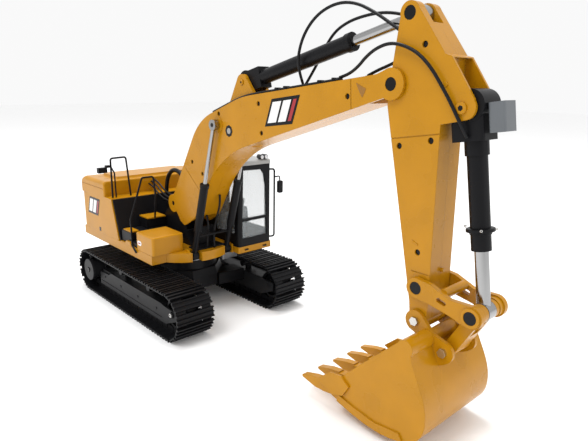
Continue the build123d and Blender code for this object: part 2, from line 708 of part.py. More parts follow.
PILLAR = 3.5
WINDOW_LOW = 94.0
BAR_Z = 119.0
WINDOW_HIGH = 186.0
GLASS = 1.2
FRONT_RIGHT = CAB_RIGHT + 7
FRONT_LEFT = CAB_LEFT - 8


def side_window():
    """Outline of the long side windows, from rear to front."""
    return [(-12, 122), (-12, 182), (66, 184), (73, 178), (74, 100), (34, 100), (30, 122)]


def front_upper():
    with BuildSketch(Plane.YZ.offset(CAB_FRONT)) as sketch:
        Polygon(
            (FRONT_RIGHT, BAR_Z + 2), (FRONT_LEFT, BAR_Z + 2), (FRONT_LEFT - 1, 160), (FRONT_LEFT - 4, 178),
            (FRONT_LEFT - 9, WINDOW_HIGH - 1), (FRONT_RIGHT + 2, WINDOW_HIGH), align=None,
        )
    return sketch.sketch


def front_lower():
    with BuildSketch(Plane.YZ.offset(CAB_FRONT)) as sketch:
        Polygon(
            (FRONT_RIGHT, WINDOW_LOW), (FRONT_LEFT, WINDOW_LOW), (FRONT_LEFT, BAR_Z - 1.5),
            (FRONT_RIGHT, BAR_Z - 1.5), align=None,
        )
    return sketch.sketch


def rear_window():
    with BuildSketch(Plane.YZ.offset(CAB_REAR)) as sketch:
        with Locations(((CAB_RIGHT + CAB_LEFT) / 2, 160)):
            Rectangle(38, 44)
    return sketch.sketch


CAB_DEPTH = CAB_FRONT - CAB_REAR
with BuildPart() as cab_frame:
    with BuildSketch(Plane.XY.offset(CAB_FLOOR)):
        with Locations(((CAB_REAR + CAB_FRONT) / 2, (CAB_RIGHT + CAB_LEFT) / 2)):
            RectangleRounded(CAB_DEPTH - 1, CAB_LEFT - CAB_RIGHT - 1, 4)
    extrude(amount=CAB_TOP - CAB_FLOOR)
    with BuildSketch(Plane.XY.offset(CAB_FLOOR + 2)):
        with Locations(((CAB_REAR + CAB_FRONT) / 2, (CAB_RIGHT + CAB_LEFT) / 2)):
            RectangleRounded(CAB_DEPTH - 1 - 2 * PILLAR, CAB_LEFT - CAB_RIGHT - 1 - 2 * PILLAR, 2)
    extrude(amount=CAB_TOP - CAB_FLOOR, mode=Mode.SUBTRACT)
    extrude(front_upper(), amount=-8, mode=Mode.SUBTRACT)
    extrude(front_lower(), amount=-8, mode=Mode.SUBTRACT)
    extrude(rear_window(), amount=8, mode=Mode.SUBTRACT)
    with BuildSketch(side_plane(CAB_LEFT + 10)):
        Polygon(*side_window(), align=None)
    extrude(amount=CAB_LEFT - CAB_RIGHT + 20, mode=Mode.SUBTRACT)
save(cab_frame.part, "cab_frame")

with BuildPart() as cab_glass:
    extrude(front_upper().moved(Location((-2.4, 0, 0))), amount=-GLASS)
    extrude(front_lower().moved(Location((-2.4, 0, 0))), amount=-GLASS)
    extrude(rear_window().moved(Location((2.4, 0, 0))), amount=GLASS)
    for y in (CAB_RIGHT + 2.4, CAB_LEFT - 2.4 + GLASS):
        with BuildSketch(side_plane(y)):
            Polygon(*side_window(), align=None)
        extrude(amount=GLASS)
save(cab_glass.part, "cab_glass")

with BuildPart() as cab_roof:
    with BuildSketch(Plane.XY.offset(CAB_TOP)):
        with Locations(((CAB_REAR + CAB_FRONT) / 2, (CAB_RIGHT + CAB_LEFT) / 2)):
            RectangleRounded(CAB_DEPTH + 1, CAB_LEFT - CAB_RIGHT + 0.5, 5)
    extrude(amount=6)
    fillet(cab_roof.faces().sort_by(Axis.Z)[-1].edges(), 3)
    with BuildSketch(Plane.XY.offset(CAB_TOP + 5.5)):
        with Locations((22, (CAB_RIGHT + CAB_LEFT) / 2)):
            RectangleRounded(60, 36, 4)
    extrude(amount=2, taper=30)
save(cab_roof.part, "cab_roof")

CAB_MID = (CAB_RIGHT + CAB_LEFT) / 2
SEAT_LOW = CAB_FLOOR + 2
with BuildPart() as cab_interior:
    # seat on its box, with a raked back and a head rest
    with BuildSketch(Plane.XY.offset(SEAT_LOW)):
        with Locations((14, CAB_MID)):
            RectangleRounded(26, 24, 3)
    extrude(amount=20)
    with BuildSketch(Plane.XY.offset(SEAT_LOW + 20)):
        with Locations((15, CAB_MID)):
            RectangleRounded(32, 28, 5)
    extrude(amount=7)
    plane, length = span(CAB_MID - 13, CAB_MID + 13)
    with BuildSketch(plane):
        Polygon((0, SEAT_LOW + 26), (-10, 152), (-5, 154), (7, SEAT_LOW + 26), align=None)
    extrude(amount=length)
    plane, length = span(CAB_MID - 7, CAB_MID + 7)
    with BuildSketch(plane):
        Polygon((-10, 153), (-12, 164), (-7, 165), (-5, 153), align=None)
    extrude(amount=length)
    # side consoles with a joystick each
    for y in (CAB_MID - 19, CAB_MID + 19):
        with BuildSketch(Plane.XY.offset(SEAT_LOW)):
            with Locations((22, y)):
                RectangleRounded(34, 8, 2)
        extrude(amount=34)
        with BuildSketch(Plane.XY.offset(SEAT_LOW + 34)):
            with Locations((32, y)):
                Circle(1.2)
        extrude(amount=11)
        with BuildSketch(Plane.XY.offset(SEAT_LOW + 44)):
            with Locations((32, y)):
                Circle(2.2)
        extrude(amount=7)
    # pedals with their tall levers, and a display on its stalk
    for y in (CAB_MID - 4, CAB_MID + 4):
        plane, length = span(y - 2.2, y + 2.2)
        with BuildSketch(plane):
            Polygon((58, SEAT_LOW), (68, 90), (68, 91.5), (56, 87), (56, SEAT_LOW), align=None)
        extrude(amount=length)
        with BuildSketch(Plane.XY.offset(SEAT_LOW)):
            with Locations((54, y)):
                Circle(1.2)
        extrude(amount=42)
    with BuildSketch(Plane.XY.offset(SEAT_LOW)):
        with Locations((66, CAB_RIGHT + 9)):
            Circle(1.5)
    extrude(amount=40)
    with BuildSketch(Plane.YZ.offset(65)):
        with Locations((CAB_RIGHT + 11, 131)):
            RectangleRounded(12, 14, 1.5)
    extrude(amount=3)
save(cab_interior.part, "cab_interior")

with BuildPart() as cab_handrail:
    grab_bar = [
        (CAB_FRONT - 5, CAB_LEFT - 1, 183), (CAB_FRONT - 2, CAB_LEFT + 7, 183),
        (CAB_FRONT - 2, CAB_LEFT + 7, 88), (CAB_FRONT - 5, CAB_LEFT - 1, 88),
    ]
    add(tube(grab_bar, RAIL, 3))
    mirror_arm = [
        (CAB_FRONT - 2, CAB_LEFT + 7, 172), (CAB_FRONT + 1, CAB_LEFT + 14, 173),
        (CAB_FRONT + 1, CAB_LEFT + 14.5, 166),
    ]
    add(tube(mirror_arm, 0.9, 2))
    with BuildSketch(Plane.YZ.offset(CAB_FRONT - 0.5)):
        with Locations((CAB_LEFT + 14.5, 158)):
            RectangleRounded(8, 17, 2)
    extrude(amount=3.5)
    add(cab_frame.part, mode=Mode.SUBTRACT)
save(cab_handrail.part, "cab_handrail")

with BuildPart() as work_lights:
    for y in (CAB_LEFT - 10, CAB_LEFT - 17):
        with BuildSketch(Plane.YZ.offset(CAB_FRONT - 7)):
            with Locations((y, CAB_TOP + 9.5)):
                Circle(3.1)
        extrude(amount=8)
        with BuildSketch(Plane.XY.offset(CAB_TOP + 6)):
            with Locations((CAB_FRONT - 4, y)):
                Rectangle(3, 3)
        extrude(amount=2)
save(work_lights.part, "work_lights")

# ---------------------------------------------------------------- inside the casing
with BuildPart() as battery_pack:
    with BuildSketch(Plane.XY.offset(DECK_TOP)):
        with Locations((-92, -20)):
            RectangleRounded(64, 44, 3)
    extrude(amount=26)
save(battery_pack.part, "battery_pack")

with BuildPart() as control_board:
    with BuildSketch(Plane.XY.offset(DECK_TOP + 6)):
        with Locations((-92, 40)):
            Rectangle(58, 40)
    extrude(amount=1.6)
    with BuildSketch(Plane.XY.offset(DECK_TOP)):
        with Locations((-92, 40)):
            with GridLocations(48, 30, 2, 2):
                Circle(2)
    extrude(amount=6)
    with BuildSketch(Plane.XY.offset(DECK_TOP + 7.6)):
        with Locations((-100, 40)):
            Rectangle(16, 14)
        with Locations((-74, 48)):
            Rectangle(12, 8)
        with Locations((-74, 30)):
            Rectangle(9, 12)
    extrude(amount=4)
save(control_board.part, "control_board")

# ---------------------------------------------------------------- boom
BOOM_SIDE = 3.0
FOOT_RADIUS = 12.0
ELBOW_RADIUS = 13.0
BRACKET_HALF = 12.0
BRACKET_SIDE = 4.0
CAP_RADIUS = 5.4
PIN_RADIUS = 3.0
BOOM_SCREWS = [(59.8, 200.2), (82, 188), (118.5, 262), (190, 276), (195, 246), (313, 287)]


# Corners of the boom's side view as (x, z, rounding radius); its inside follows 3 mm within.
BOOM_CORNERS = [
    (12, 150.8, 0), (76.7, 252.4, 80), (160.5, 282.2, 150), (344, 305.7, 20), (354, 309.8, 0), (359, 298, 0),
    (353.5, 287, 0), (115.8, 213.2, 150), (62, 128, 12), (37, 113.5, 5), (27, 118, 3), (10, 139, 0),
]
BOOM_INSIDE = [
    (14, 166, 0), (24, 164, 0), (78.7, 249.9, 77), (161, 279.2, 147), (331, 300.8, 0), (331, 283.3, 0),
    (113.9, 215.8, 153), (61, 132, 0), (68, 122, 0), (40, 98, 0), (-12, 98, 0), (-12, 160, 0),
]


def rounded_outline(corners):
    """A closed side outline from corners that each state their rounding radius."""
    with BuildSketch() as sketch:
        with BuildLine():
            FilletPolyline(*[(x, z) for x, z, _ in corners], radius=[r for _, _, r in corners], close=True)
        make_face()
    return sketch.sketch


def boom_outline():
    """Side outline of the boom: foot boss, cranked beam and elbow boss."""
    with BuildSketch() as sketch:
        add(rounded_outline(BOOM_CORNERS))
        with Locations(FOOT):
            Circle(FOOT_RADIUS)
        with Locations(ELBOW):
            Circle(ELBOW_RADIUS)
    return sketch.sketch


def boom_cavity():
    """Side outline of the boom's inside, open at the foot and at the elbow fork."""
    with BuildSketch() as sketch:
        add(rounded_outline(BOOM_INSIDE))
        Polygon((336, 262), (336, 325), (385, 325), (385, 262), align=None)
    return sketch.sketch


def boom_half(side):
    """One half shell of the boom, from its middle plane to its outer face; side is -1 or 1."""
    outer = ARM_Y + side * BOOM_HALF
    with BuildPart() as half:
        plane, length = span(min(ARM_Y, outer), max(ARM_Y, outer))
        extrude(plane * boom_outline(), amount=length)
        inner_wall = outer - side * BOOM_SIDE
        plane, length = span(min(ARM_Y, inner_wall), max(ARM_Y, inner_wall))
        extrude(plane * boom_cavity(), amount=length, mode=Mode.SUBTRACT)
        # raised ring round the elbow pin and pad under the rod eye
        face = outer + side * 1.2
        plane, length = span(min(outer, face), max(outer, face))
        with BuildSketch(plane):
            with Locations(LIFT_EYE):
                Circle(9)
        extrude(amount=length)
        # cheek of the stick cylinder's base
        cheek_outer = ARM_Y + side * BRACKET_HALF
        cheek_inner = cheek_outer - side * BRACKET_SIDE
        plane, length = span(min(cheek_outer, cheek_inner), max(cheek_outer, cheek_inner))
        with BuildSketch(plane):
            left = (CROWD_BASE[0] - 8.2, CROWD_BASE[1] + 3.5)
            right = (CROWD_BASE[0] + 8, CROWD_BASE[1] + 4)
            Polygon((127, 268), left, right, (178, 281), align=None)
            with Locations(CROWD_BASE):
                Circle(9)
        extrude(amount=length)
        # stub pin of the stick cylinder, on the cheek's inner face
        stub = cheek_inner - side * 1.6
        plane, length = span(min(stub, cheek_inner), max(stub, cheek_inner))
        with BuildSketch(plane):
            with Locations(CROWD_BASE):
                Circle(2)
        extrude(amount=length)
        # bores of the foot pin and of the elbow pin with its sunk cap
        plane, length = span(min(ARM_Y, outer) - 2, max(ARM_Y, outer) + 2)
        with BuildSketch(plane):
            with Locations(FOOT):
                Circle(FOOT_PIN + RUN)
            with Locations(ELBOW):
                Circle(PIN_RADIUS + RUN)
        extrude(amount=length, mode=Mode.SUBTRACT)
        sunk = outer - side * 2
        plane, length = span(min(sunk, outer + side), max(sunk, outer + side))
        with BuildSketch(plane):
            with Locations(ELBOW):
                Circle(CAP_RADIUS + 0.1)
        extrude(amount=length, mode=Mode.SUBTRACT)
        # screw pillars; the right half is counterbored, the left half holds the threads
        plane, length = span(min(ARM_Y, inner_wall), max(ARM_Y, inner_wall))
        with BuildSketch(plane):
            with Locations(*BOOM_SCREWS):
                Circle(3.6)
        extrude(amount=length)
        plane, length = span(ARM_Y - BOOM_HALF - 1, ARM_Y + 10)
        with BuildSketch(plane):
            with Locations(*BOOM_SCREWS):
                Circle(1.3)
        extrude(amount=length, mode=Mode.SUBTRACT)
        if side < 0:
            plane, length = span(outer - 1, outer + 3)
            with BuildSketch(plane):
                with Locations(*BOOM_SCREWS):
                    Circle(2.6)
            extrude(amount=length, mode=Mode.SUBTRACT)
        # seam of the end casting and of the foot casting
        groove = outer - side * 0.5
        plane, length = span(min(groove, outer + side), max(groove, outer + side))
        with BuildSketch(plane):
            with Locations((317, 290)):
                Rectangle(0.8, 60, rotation=4)
            with Locations((60, 178)):
                Rectangle(0.8, 70, rotation=-128)
        extrude(amount=length, mode=Mode.SUBTRACT)
    return half.part


boom_right_shell = boom_half(-1)
boom_left_shell = boom_half(1)
save(boom_right_shell, "boom_right_shell")
save(boom_left_shell, "boom_left_shell")


def screws(places, outer, head_depth, shank_end):
    """Countersunk screws that run from the right face towards the left."""
    with BuildPart() as group:
        plane, length = span(outer + head_depth - 1.6, outer + head_depth)
        with BuildSketch(plane):
            with Locations(*places):
                Circle(2.4)
        extrude(amount=length)
        plane, length = span(outer + head_depth, shank_end)
        with BuildSketch(plane):
            with Locations(*places):
                Circle(1.2)
        extrude(amount=length)
    return group.part


# Glands on top of the boom, where the stick's hoses come out; each is (x, y, top z).
HOSE_RADIUS = 1.4
GLANDS = [(241.4, -9.0, 296.0), (236.5, -1.0, 296.0), (297.0, -17.0, 303.0), (312.0, 4.0, 305.0)]
with BuildPart() as hose_glands:
    for x, y, z in GLANDS:
        with BuildSketch(Plane.XY.offset(z - 6)):
            with Locations((x, y)):
                Circle(HOSE_RADIUS + 1)
        extrude(amount=6)
    add(boom_right_shell, mode=Mode.SUBTRACT)
    add(boom_left_shell, mode=Mode.SUBTRACT)

with BuildPart() as boom_fasteners:
    add(hose_glands.part)
    add(screws(BOOM_SCREWS, ARM_Y - BOOM_HALF, 3.0, ARM_Y + 8))
    plane, length = about_arm(-BOOM_HALF + 0.4, BOOM_HALF - 0.4)
    with BuildSketch(plane):
        with Locations(ELBOW):
            Circle(PIN_RADIUS)
        with Locations(FOOT):
            Circle(FOOT_PIN)
    extrude(amount=length)
    for low, high in ((-BOOM_HALF + 0.4, -BOOM_HALF + 2), (BOOM_HALF - 2, BOOM_HALF - 0.4)):
        plane, length = about_arm(low, high)
        with BuildSketch(plane):
            with Locations(ELBOW):
                Circle(CAP_RADIUS)
        extrude(amount=length)
    # pins of the boom cylinders' rod eyes
    for low, high in ((-LIFT_OFFSET - 2.9, -BOOM_HALF - 1.2), (BOOM_HALF + 1.2, LIFT_OFFSET + 2.9)):
        plane, length = about_arm(low, high)
        with BuildSketch(plane):
            with Locations(LIFT_EYE):
                Circle(2.2)
        extrude(amount=length)
save(boom_fasteners.part, "boom_fasteners")

# ---------------------------------------------------------------- boom cylinders
LIFT_LENGTH = distance(LIFT_EYE, LIFT_BASE)
LIFT_ROD = 2.4
LIFT_ROD_LENGTH = 92.0
LIFT_BARREL_START = 75.0
LIFT_BARREL_END = 140.0
with BuildPart() as boom_rods:
    for y in LIFT_YS:
        plane, length = span(y - 2.5, y + 2.5)
        with BuildSketch(plane):
            with Locations(LIFT_EYE):
                Circle(6.2)
        extrude(amount=length)
        with BuildSketch(axis_plane(LIFT_EYE, LIFT_BASE, 0, y)):
            Circle(LIFT_ROD)
        extrude(amount=LIFT_ROD_LENGTH)
        with BuildSketch(plane):
            with Locations(LIFT_EYE):
                Circle(2.2 + RUN)
        extrude(amount=length, mode=Mode.SUBTRACT)
save(boom_rods.part, "boom_rods")

LIFT_EYE_BORE = LIFT_PIN + 2.5
with BuildPart() as boom_barrels:
    for y in LIFT_YS:
        with BuildSketch(axis_plane(LIFT_EYE, LIFT_BASE, LIFT_BARREL_START, y)):
            Circle(5)
        extrude(amount=LIFT_BARREL_END - LIFT_BARREL_START)
        with BuildSketch(axis_plane(LIFT_EYE, LIFT_BASE, LIFT_BARREL_START, y)):
            Circle(5.6)
        extrude(amount=4)
        with BuildSketch(axis_plane(LIFT_EYE, LIFT_BASE, LIFT_BARREL_END, y)):
            Circle(3.6)
        extrude(amount=LIFT_LENGTH - LIFT_BARREL_END)
        plane, length = span(y - 4, y + 4)
        with BuildSketch(plane):
            with Locations(LIFT_BASE):
                Circle(LIFT_EYE_BORE + 1.8)
        extrude(amount=length)
        with BuildSketch(plane):
            with Locations(LIFT_BASE):
                Circle(LIFT_EYE_BORE)
        extrude(amount=length, mode=Mode.SUBTRACT)
        with BuildSketch(axis_plane(LIFT_EYE, LIFT_BASE, LIFT_BARREL_START, y)):
            Circle(LIFT_ROD + RUN)
        extrude(amount=61, mode=Mode.SUBTRACT)
    # cross bar that ties the two barrels
    plane, length = span(LIFT_YS[0] + 3, LIFT_YS[1] - 3)
    with BuildSketch(plane):
        with Locations(along(LIFT_EYE, LIFT_BASE, 148)):
            Circle(1.5)
    extrude(amount=length)
save(boom_barrels.part, "boom_barrels")

# ---------------------------------------------------------------- stick
STICK_SIDE = 3.0
STICK_SCREWS = [(387, 328), (368.8, 248.8), (398.5, 255.5), (394, 163)]
EYE_RADIUS = 9.0


def stick_outline():
    """Side outline of the stick: rod lug, elbow region, ear of the bucket cylinder, taper."""
    with BuildSketch() as sketch:
        beam = [
            (CROWD_EYE[0] - 8.6, CROWD_EYE[1] - 2), (356.5, 305), (354.5, 281), (389, 120), (408, 120),
            (407.5, 153), (406, 268), (406, 320), (CROWD_EYE[0] + 8, CROWD_EYE[1] + 4),
        ]
        Polygon(*beam, align=None)
        with Locations(CROWD_EYE):
            Circle(EYE_RADIUS)
        ear = [
            (404, 321), (411, 319), (CURL_BASE[0] + 7.6, CURL_BASE[1] + 6),
            (CURL_BASE[0] + 2, CURL_BASE[1] - 9), (404, 268),
        ]
        Polygon(*ear, align=None)
        with Locations(CURL_BASE):
            Circle(9.2)
        nose = [
            (389, 122), (BUCKET_PIN[0] - 8.4, BUCKET_PIN[1] + 2), (BUCKET_PIN[0] + 8.4, BUCKET_PIN[1] + 2),
            (408, 122),
        ]
        Polygon(*nose, align=None)
        with Locations(BUCKET_PIN):
            Circle(8.6)
    return sketch.sketch


def stick_cavity():
    """Side outline of the hollow inside the stick."""
    hollow = [
        (CROWD_EYE[0] + 3, 330), (361, 305), (359, 282), (390.6, 144), (403.5, 144), (404, 160), (402.5, 262),
        (402.5, 316), (390, 330),
    ]
    with BuildSketch() as sketch:
        Polygon(*hollow, align=None)
    return sketch.sketch


def stick_half(side):
    """One half shell of the stick; side is -1 or 1."""
    outer = ARM_Y + side * STICK_HALF
    inner_wall = outer - side * STICK_SIDE
    with BuildPart() as half:
        plane, length = span(min(ARM_Y, outer), max(ARM_Y, outer))
        extrude(plane * stick_outline(), amount=length)
        plane, length = span(min(ARM_Y, inner_wall), max(ARM_Y, inner_wall))
        extrude(plane * stick_cavity(), amount=length, mode=Mode.SUBTRACT)
        # slot for the rod of the stick cylinder
        slot = ARM_Y + side * 7
        plane, length = span(min(ARM_Y, slot), max(ARM_Y, slot))
        with BuildSketch(plane):
            Polygon((340, 318), (366, 332), (380, 333), (392, 352), (380, 370), (340, 370), align=None)
        extrude(amount=length, mode=Mode.SUBTRACT)
        # gap between the ears for the bucket cylinder's housing
        gap = ARM_Y + side * 13
        plane, length = span(min(ARM_Y, gap), max(ARM_Y, gap))
        with BuildSketch(plane):
            Polygon((406, 260), (406, 318), (440, 318), (440, 260), align=None)
        extrude(amount=length, mode=Mode.SUBTRACT)
        # stub pin of the bucket cylinder, on the ear's inner face
        stub = gap - side * 1.6
        plane, length = span(min(stub, gap), max(stub, gap))
        with BuildSketch(plane):
            with Locations(CURL_BASE):
                Circle(2)
        extrude(amount=length)
        # bores
        plane, length = span(min(ARM_Y, outer) - 2, max(ARM_Y, outer) + 2)
        with BuildSketch(plane):
            with Locations(ELBOW, LINK_PIN, BUCKET_PIN):
                Circle(PIN_RADIUS + RUN)
            with Locations(CROWD_EYE):
                Circle(PIN_RADIUS + RUN)
        extrude(amount=length, mode=Mode.SUBTRACT)
        sunk = outer - side * 2
        plane, length = span(min(sunk, outer + side), max(sunk, outer + side))
        with BuildSketch(plane):
            with Locations(CROWD_EYE):
                Circle(CAP_RADIUS + 0.1)
        extrude(amount=length, mode=Mode.SUBTRACT)
        # screw pillars
        plane, length = span(min(ARM_Y, inner_wall), max(ARM_Y, inner_wall))
        with BuildSketch(plane):
            with Locations(*STICK_SCREWS[1:]):
                Circle(3.6)
        extrude(amount=length)
        plane, length = span(ARM_Y - STICK_HALF - 1, ARM_Y + 10)
        with BuildSketch(plane):
            with Locations(*STICK_SCREWS):
                Circle(1.3)
        extrude(amount=length, mode=Mode.SUBTRACT)
        if side < 0:
            plane, length = span(outer - 1, outer + 3)
            with BuildSketch(plane):
                with Locations(*STICK_SCREWS):
                    Circle(2.6)
            extrude(amount=length, mode=Mode.SUBTRACT)
        groove = outer - side * 0.5
        plane, length = span(min(groove, outer + side), max(groove, outer + side))
        with BuildSketch(plane):
            with Locations((382, 257.5)):
                Rectangle(60, 0.8, rotation=9)
            with Locations((399, 146)):
                Rectangle(20, 0.8, rotation=0)
        extrude(amount=length, mode=Mode.SUBTRACT)
    return half.part


save(stick_half(-1), "stick_right_shell")
save(stick_half(1), "stick_left_shell")

with BuildPart() as stick_fasteners:
    add(screws(STICK_SCREWS, ARM_Y - STICK_HALF, 3.0, ARM_Y + 8))
    plane, length = about_arm(-STICK_HALF + 0.4, STICK_HALF - 0.4)
    with BuildSketch(plane):
        with Locations(CROWD_EYE):
            Circle(PIN_RADIUS)
    extrude(amount=length)
    for low, high in ((-STICK_HALF + 0.4, -STICK_HALF + 2), (STICK_HALF - 2, STICK_HALF - 0.4)):
        plane, length = about_arm(low, high)
        with BuildSketch(plane):
            with Locations(CROWD_EYE):
                Circle(CAP_RADIUS)
        extrude(amount=length)
save(stick_fasteners.part, "stick_fasteners")

# ---------------------------------------------------------------- stick cylinder
CROWD_LENGTH = distance(CROWD_EYE, CROWD_BASE)
CROWD_ROD = 4.6
CROWD_ROD_LENGTH = 103.0
CROWD_BARREL_START = 72.0
with BuildPart() as stick_rod:
    plane, length = about_arm(-6.5, 6.5)
    with BuildSketch(plane):
        with Locations(CROWD_EYE):
            Circle(7.5)
    extrude(amount=length)
    with BuildSketch(axis_plane(CROWD_EYE, CROWD_BASE, 0, ARM_Y)):
        Circle(CROWD_ROD)
    extrude(amount=CROWD_ROD_LENGTH)
    with BuildSketch(plane):
        with Locations(CROWD_EYE):
            Circle(PIN_RADIUS + RUN)
    extrude(amount=length, mode=Mode.SUBTRACT)
save(stick_rod.part, "stick_rod")

BASE_HALF = 7.4
with BuildPart() as stick_barrel:
    with BuildSketch(axis_plane(CROWD_EYE, CROWD_BASE, CROWD_BARREL_START, ARM_Y)):
        Circle(7.6)
    extrude(amount=CROWD_LENGTH - CROWD_BARREL_START - 14)
    with BuildSketch(axis_plane(CROWD_EYE, CROWD_BASE, CROWD_BARREL_START, ARM_Y)):
        Circle(8.6)
    extrude(amount=6)
    with BuildSketch(axis_plane(CROWD_EYE, CROWD_BASE, CROWD_LENGTH - 26, ARM_Y)):
        Rectangle(2 * BASE_HALF, 22)
    extrude(amount=18)
    plane, length = about_arm(-BASE_HALF, BASE_HALF)
    with BuildSketch(plane):
        with Locations((CROWD_BASE[0] + 1, CROWD_BASE[1] + 1)):
            Circle(12)
    extrude(amount=length)
    for low, high in ((-BASE_HALF - 1, -BASE_HALF + 2), (BASE_HALF - 2, BASE_HALF + 1)):
        plane, length = about_arm(low, high)
        with BuildSketch(plane):
            with Locations(CROWD_BASE):
                Circle(7.6)
        extrude(amount=length, mode=Mode.SUBTRACT)
    with BuildSketch(axis_plane(CROWD_EYE, CROWD_BASE, CROWD_BARREL_START - 1, ARM_Y)):
        Circle(CROWD_ROD + RUN)
    extrude(amount=61, mode=Mode.SUBTRACT)
save(stick_barrel.part, "stick_barrel")

# ---------------------------------------------------------------- bucket cylinder
CURL_LENGTH = distance(CURL_EYE, CURL_BASE)
CURL_ROD = 5.6
CURL_ROD_LENGTH = 74.0
CURL_BARREL_START = 49.5
with BuildPart() as bucket_rod:
    plane, length = about_arm(-5.6, 5.6)
    with BuildSketch(plane):
        with Locations(CURL_EYE):
            Circle(7.8)
    extrude(amount=length)
    with BuildSketch(axis_plane(CURL_EYE, CURL_BASE, 0, ARM_Y)):
        Circle(CURL_ROD)
    extrude(amount=CURL_ROD_LENGTH)
    with BuildSketch(plane):
        with Locations(CURL_EYE):
            Circle(PIN_RADIUS + RUN)
    extrude(amount=length, mode=Mode.SUBTRACT)
save(bucket_rod.part, "bucket_rod")

HOUSING_HALF = 12.4
with BuildPart() as bucket_barrel:
    with BuildSketch(axis_plane(CURL_EYE, CURL_BASE, CURL_BARREL_START, ARM_Y)):
        Circle(7.9)
    extrude(amount=CURL_LENGTH - CURL_BARREL_START - 18)
    with BuildSketch(axis_plane(CURL_EYE, CURL_BASE, CURL_BARREL_START + 13, ARM_Y)):
        Circle(8.6)
    extrude(amount=2.5)
    with BuildSketch(axis_plane(CURL_EYE, CURL_BASE, CURL_LENGTH - 36, ARM_Y)):
        Circle(9.2)
    extrude(amount=14)
    with BuildSketch(axis_plane(CURL_EYE, CURL_BASE, CURL_LENGTH - 25, ARM_Y)):
        with Locations((0, 1.5)):
            RectangleRounded(2 * HOUSING_HALF - 1, 27, 3)
    extrude(amount=22)
    plane, length = about_arm(-HOUSING_HALF, HOUSING_HALF)
    with BuildSketch(plane):
        with Locations((CURL_BASE[0] + 2, CURL_BASE[1] + 2)):
            Circle(12)
    extrude(amount=length)
    for low, high in ((-HOUSING_HALF - 1, -HOUSING_HALF + 2), (HOUSING_HALF - 2, HOUSING_HALF + 1)):
        plane, length = about_arm(low, high)
        with BuildSketch(plane):
            with Locations(CURL_BASE):
                Circle(6.4)
        extrude(amount=length, mode=Mode.SUBTRACT)
    with BuildSketch(axis_plane(CURL_EYE, CURL_BASE, CURL_BARREL_START - 1, ARM_Y)):
        Circle(CURL_ROD + RUN)
    extrude(amount=57, mode=Mode.SUBTRACT)
save(bucket_barrel.part, "bucket_barrel")

with BuildPart() as bucket_motor:
    with BuildSketch(axis_plane(CURL_EYE, CURL_BASE, CURL_LENGTH - 20, ARM_Y)):
        with Locations((0, -21.2)):
            RectangleRounded(18, 13, 2)
    extrude(amount=22)
save(bucket_motor.part, "bucket_motor")

# ---------------------------------------------------------------- bucket linkage
LINK_INNER = 16.2
LINK_OUTER = 21.0


def link_side(side):
    """One side link, with its long boss at the rod eye; side is -1 or 1."""
    with BuildPart() as piece:
        inner = ARM_Y + side * LINK_INNER
        outer = ARM_Y + side * LINK_OUTER
        plane, length = span(min(inner, outer), max(inner, outer))
        with BuildSketch(plane):
            with Locations(LINK_PIN):
                Circle(8.8)
            with Locations(CURL_EYE):
                Circle(9.4)
            waist = [
                (LINK_PIN[0] + 2, LINK_PIN[1] + 8.5), (412, 141), (430, 133.5),
                (CURL_EYE[0], CURL_EYE[1] + 9.3),
                (CURL_EYE[0] - 3, CURL_EYE[1] - 8.9), (430, 120.5), (412, 124),
                (LINK_PIN[0] + 1, LINK_PIN[1] - 8.7),
            ]
            Polygon(*waist, align=None)
            with Locations((423, 129.5)):
                SlotOverall(9, 4, rotation=-17, mode=Mode.SUBTRACT)
        extrude(amount=length)
        boss = ARM_Y + side * 11.2
        far = ARM_Y + side * (LINK_OUTER + 1.5)
        plane, length = span(min(boss, far), max(boss, far))
        with BuildSketch(plane):
            with Locations(CURL_EYE):
                Circle(8.2)
        extrude(amount=length)
        plane, length = span(min(inner, outer) - 12, max(inner, outer) + 12)
        with BuildSketch(plane):
            with Locations(LINK_PIN, CURL_EYE):
                Circle(PIN_RADIUS)
        extrude(amount=length, mode=Mode.SUBTRACT)
        sunk = outer - side * 2
        plane, length = span(min(sunk, outer + 3 * side), max(sunk, outer + 3 * side))
        with BuildSketch(plane):
            with Locations(LINK_PIN):
                Circle(CAP_RADIUS + 0.1)
        extrude(amount=length, mode=Mode.SUBTRACT)
        sunk = far - side * 2
        plane, length = span(min(sunk, far + side), max(sunk, far + side))
        with BuildSketch(plane):
            with Locations(CURL_EYE):
                Circle(CAP_RADIUS + 0.1)
        extrude(amount=length, mode=Mode.SUBTRACT)
    return piece.part


with BuildPart() as side_links:
    add(link_side(-1))
    add(link_side(1))
    plane, length = about_arm(-LINK_INNER, LINK_INNER)
    with BuildSketch(plane):
        with Locations((421.5, 134.5)):
            Circle(4.2)
    extrude(amount=length)
save(side_links.part, "side_links")

with BuildPart() as link_pins:
    for pin, reach in ((LINK_PIN, LINK_OUTER - 0.4), (CURL_EYE, LINK_OUTER + 1.1)):
        plane, length = about_arm(-reach, reach)
        with BuildSketch(plane):
            with Locations(pin):
                Circle(PIN_RADIUS)
        extrude(amount=length)
        for low, high in ((-reach, -reach + 1.6), (reach - 1.6, reach)):
            plane, length = about_arm(low, high)
            with BuildSketch(plane):
                with Locations(pin):
                    Circle(CAP_RADIUS)
            extrude(amount=length)
save(link_pins.part, "link_pins")

